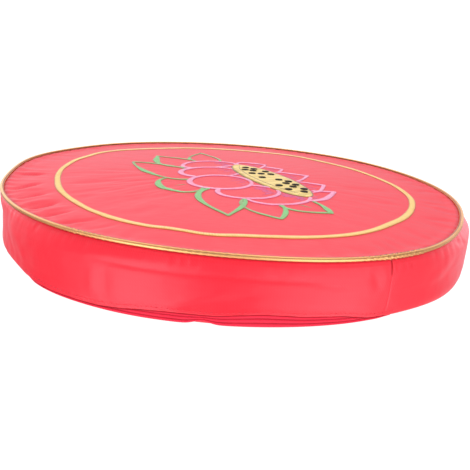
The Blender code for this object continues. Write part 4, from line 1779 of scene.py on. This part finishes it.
@dataclass(frozen=True)
class Thread:
    """Polyester embroidery thread in satin stitch: a silky gloss that changes from bundle to bundle."""

    name: str
    light: str
    dark: str
    sheen: float = 0.15
    roughness: float = 0.4
    strand: float = 0.45 * MM  # the real one is 0.2 mm, too fine to show
    strand_depth: float = 0.04 * MM

    def material(self) -> Material:
        """Build the thread: dark to light by the stitches' own tone, which holds painted shade at their
        edges and ends, with a bump for each strand.
        """
        material = bpy.data.materials.new(self.name)
        add = emptied(material)
        colour = blend(add, self.dark, self.light)
        uv = add("ShaderNodeUVMap", uv_map="cloth").outputs["UV"]
        strands = add("ShaderNodeTexWave", {
            "Vector": uv, "Scale": WAVE_PERIOD / self.strand, "Distortion": 0.5}).outputs["Fac"]
        bump = add("ShaderNodeBump", {
            "Height": strands, "Distance": self.strand_depth}).outputs["Normal"]
        shader = add("ShaderNodeBsdfPrincipled", {
            "Base Color": colour, "Roughness": self.roughness, "IOR": 1.5, "Normal": bump,
            "Sheen Weight": self.sheen, "Sheen Roughness": 0.35})
        add("ShaderNodeOutputMaterial", {"Surface": shader.outputs[0]})
        return material


@dataclass(frozen=True)
class Threads:
    """Colours of thread on the top panel and along the fold."""

    gold: Thread = Thread("gold_embroidery_thread", light="#FFE07C", dark="#C8782C")
    pink: Thread = Thread("pink_embroidery_thread", light="#FAA6C2", dark="#E47AA4")
    magenta: Thread = Thread("magenta_embroidery_thread", light="#E0649E", dark="#C64E94")
    green: Thread = Thread("green_embroidery_thread", light="#74CC74", dark="#9C8C5A")
    yellow: Thread = Thread("yellow_embroidery_thread", light="#FFE280", dark="#D2B450")
    olive: Thread = Thread("olive_embroidery_thread", light="#96702E", dark="#6A4C20")
    black: Thread = Thread("black_embroidery_thread", light="#2C1E06", dark="#160E04", sheen=0.0,
                           roughness=0.9)
    sewing: Thread = Thread("red_sewing_thread", light="#E42A3E", dark="#B81628", sheen=0.0)


@dataclass(frozen=True)
class Softbox:
    """A soft light with an even face, turned towards the cushion."""

    name: str
    place: tuple[float, float, float]
    width: float
    height: float
    power: float  # watts
    aim: float = 30 * MM  # height over the floor's middle that it faces
    in_gloss: bool = True  # whether glossy finishes mirror it

    def hang(self) -> None:
        """Put the light in its place with its face to the middle of the cushion."""
        data = bpy.data.lights.new(self.name, "AREA")
        data.shape = "RECTANGLE"
        data.size, data.size_y, data.energy = self.width, self.height, self.power
        light = new_object(self.name, data)
        away = np.array(self.place) - np.array((0.0, 0.0, self.aim))
        back = away / np.linalg.norm(away)
        right = np.cross((0.0, 0.0, 1.0), back)
        right /= np.linalg.norm(right)
        up = np.cross(back, right)
        light.matrix_world = Matrix([*zip(right, up, back, self.place), (0.0, 0.0, 0.0, 1.0)])
        light.visible_glossy = self.in_gloss


@dataclass(frozen=True)
class Studio:
    """Pale floor, soft lights and the camera at the photograph's angle."""

    eye: tuple[float, float, float] = (0.0042, -0.4941, 0.1614)
    look_down: float = 18.706  # degrees
    roll: float = 4.237  # degrees
    lens: float = 41.76  # mm
    sensor: float = 36.0  # mm
    floor_radius: float = 5.0
    floor_drop: float = 0.3 * MM
    floor_rings: int = 16
    floor_sides: int = 64
    floor_glow: float = 1.02  # makes the paper as white as the photograph's
    tint: tuple[float, float, float] = (1.04, 0.99, 1.08)
    white: float = 1.2  # brightness straight down, and of all that the camera sees
    dim: float = 0.22  # brightness of the sides and the front
    cards: tuple[Pair, ...] = (  # bearing in degrees, brightness of the cards there
        (-180, 0.12), (-168, 0.4), (-158, 1.0), (-148, 2.6), (-138, 3.7), (-128, 4.5),
        (-117, 3.3), (-107, 1.4), (-99, 0.0), (-87, 0.0), (-78, 1.1), (-66, 2.4), (-53, 3.3),
        (-43, 3.5), (-33, 3.6), (-24, 2.8), (-13, 1.1), (-4, 0.65), (6, 0.4), (16, 0.3),
        (26, 0.5), (40, 0.7), (60, 0.5), (90, 0.3), (146, 0.3), (170, 0.1), (180, 0.12),
    )
    card_top: float = 5.0  # brightness that the cards' ramp stands for at 1
    bright: float = 1.35  # brightness behind it
    aslant: float = 0.5  # how much brighter that is to the left than to the right
    overhead: float = 0.6  # how much height counts beside distance behind
    rear: Pair = (0.3, 0.8)  # between which the brightness behind it comes in
    upright: Pair = (0.34, 0.04)  # heights between which the cards come in,
    horizon: Pair = (-0.12, -0.05)  # the sky,
    nadir: Pair = (-0.75, -0.95)  # and the white straight down
    softboxes: tuple[Softbox, ...] = (
        Softbox("top_light", place=(0.25, 0.4, 1.6), width=1.4, height=1.4, power=8.0),
        Softbox("front_light", place=(0.0, -1.3, 0.45), width=2.2, height=0.4, power=8.0,
                in_gloss=False),
    )

    def camera(self) -> None:
        """Place the camera from its look-down angle and its roll."""
        e, r = math.radians(self.look_down), math.radians(self.roll)
        right = (math.cos(r), math.sin(r) * math.sin(e), math.sin(r) * math.cos(e))
        up = (-math.sin(r), math.cos(r) * math.sin(e), math.cos(r) * math.cos(e))
        back = (0.0, -math.cos(e), math.sin(e))
        data = bpy.data.cameras.new("camera")
        data.lens = self.lens
        data.sensor_width = self.sensor
        data.clip_start = 0.01
        camera = new_object("camera", data)
        camera.matrix_world = Matrix([*zip(right, up, back, self.eye), (0.0, 0.0, 0.0, 1.0)])
        bpy.context.scene.camera = camera

    def floor(self) -> None:
        """Lay a wide floor: rings of a growing radius about a middle point."""
        rings, sides = self.floor_rings, self.floor_sides
        turn = np.linspace(0.0, TURN, sides, endpoint=False)
        radius = self.floor_radius * np.linspace(0.02, 1.0, rings)[:, None] ** 2
        points = np.stack((radius * np.cos(turn), radius * np.sin(turn),
                           np.full((rings, sides), -self.floor_drop)), -1)
        patch = Patch(points, np.zeros((rings, sides + 1, 2)), np.zeros((rings, sides)))
        flat, _ = patch.vertices()
        quads, triangles, _, _ = patch.faces()
        near = triangles[:sides]
        mesh = bpy.data.meshes.new("floor")
        mesh.from_pydata(flat[:-1].tolist(), [], quads.tolist() + near[:, ::-1].tolist())
        material = bpy.data.materials.new("matt_white_paper")
        add = emptied(material)
        grain = add("ShaderNodeTexNoise", {"Scale": 40.0, "Detail": 2.0}).outputs["Fac"]
        colour = blend(add, "#5E5E5E", "#646464", by=grain)
        shader = add("ShaderNodeBsdfPrincipled", {
            "Base Color": colour, "Roughness": 0.9, "Emission Color": linear("#FFFFFF"),
            "Emission Strength": self.floor_glow})
        add("ShaderNodeOutputMaterial", {"Surface": shader.outputs[0]})
        mesh.materials.append(material)
        floor = new_object("floor", mesh)
        floor.visible_glossy = False

    def sky(self) -> None:
        """Surround the cushion: white behind it and overhead, dim at its sides and in front.

        A ring of light cards stands round it, brighter and dimmer by their bearing, which makes the
        soft upright zones on the band. It goes on below the floor, where only the gloss sees it.
        The camera sees it all white, like the paper behind a studio's table.
        """
        world = bpy.data.worlds.new("studio")
        add = emptied(world)
        towards = add("ShaderNodeTexCoord").outputs["Generated"]
        split = add("ShaderNodeSeparateXYZ", {"Vector": towards})
        height = add("ShaderNodeMath", {0: split.outputs["Z"], 1: self.overhead},
                     operation="MULTIPLY").outputs[0]
        far = add("ShaderNodeMath", {0: split.outputs["Y"], 1: height}, operation="ADD").outputs[0]
        leftwards = add("ShaderNodeMath", {
            0: split.outputs["X"], 1: -self.aslant * self.bright, 2: self.bright},
            operation="MULTIPLY_ADD").outputs[0]
        behind = add("ShaderNodeMapRange", {
            "Value": far, "From Min": self.rear[0], "From Max": self.rear[1],
            "To Min": self.dim, "To Max": leftwards}).outputs["Result"]
        bearing = add("ShaderNodeMath", {0: split.outputs["Y"], 1: split.outputs["X"]},
                      operation="ARCTAN2").outputs[0]
        turned = add("ShaderNodeMapRange", {
            "Value": bearing, "From Min": -math.pi, "From Max": math.pi}).outputs["Result"]
        ramp = add("ShaderNodeValToRGB", {"Fac": turned})
        stops = ramp.color_ramp.elements
        while len(stops) > 1:
            stops.remove(stops[-1])
        for number, (place, value) in enumerate(self.cards):
            stop = stops.new((place + 180.0) / 360.0) if number else stops[0]
            stop.position = (place + 180.0) / 360.0
            stop.color = (*([value / self.card_top] * 3), 1.0)
        cards = add("ShaderNodeMath", {0: ramp.outputs["Color"], 1: self.card_top},
                    operation="MULTIPLY").outputs[0]
        standing, above, straight_down = (
            add("ShaderNodeMapRange", {
                "Value": split.outputs["Z"], "From Min": start, "From Max": end}).outputs["Result"]
            for start, end in (self.upright, self.horizon, self.nadir))
        cards = add("ShaderNodeMath", {0: cards, 1: standing}, operation="MULTIPLY").outputs[0]
        shade = add("ShaderNodeMath", {0: above, 1: behind, 2: cards},
                    operation="MULTIPLY_ADD").outputs[0]
        seen = add("ShaderNodeLightPath").outputs["Is Camera Ray"]
        for whiter in (straight_down, seen):
            shade = add("ShaderNodeMix", {0: whiter, 2: shade, 3: self.white}).outputs[0]
        background = add("ShaderNodeBackground", {"Color": (*self.tint, 1.0), "Strength": shade})
        add("ShaderNodeOutputWorld", {"Surface": background.outputs[0]})
        bpy.context.scene.world = world

    def build(self) -> None:
        """Set up the floor, the lights, the sky and the camera."""
        self.floor()
        self.sky()
        for softbox in self.softboxes:
            softbox.hang()
        self.camera()
        bpy.context.scene.view_settings.view_transform = "Standard"


def main() -> None:
    """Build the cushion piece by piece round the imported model."""
    logging.basicConfig(level=logging.INFO, format="%(name)s: %(message)s")
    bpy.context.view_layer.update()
    filling = Filling()
    threads = Threads()
    cover = Cover(filling)
    cover.build(RedSatin().material())
    Piping(filling).build(GoldLame().material())
    ZipStrip(cover).build(ZipTape().material())
    FoldStitches(cover).build(threads.sewing.material())
    StitchedRing(cover).build(threads.gold.material())
    Lotus(cover).build(threads)
    Studio().build()


if __name__ == "__main__":
    main()
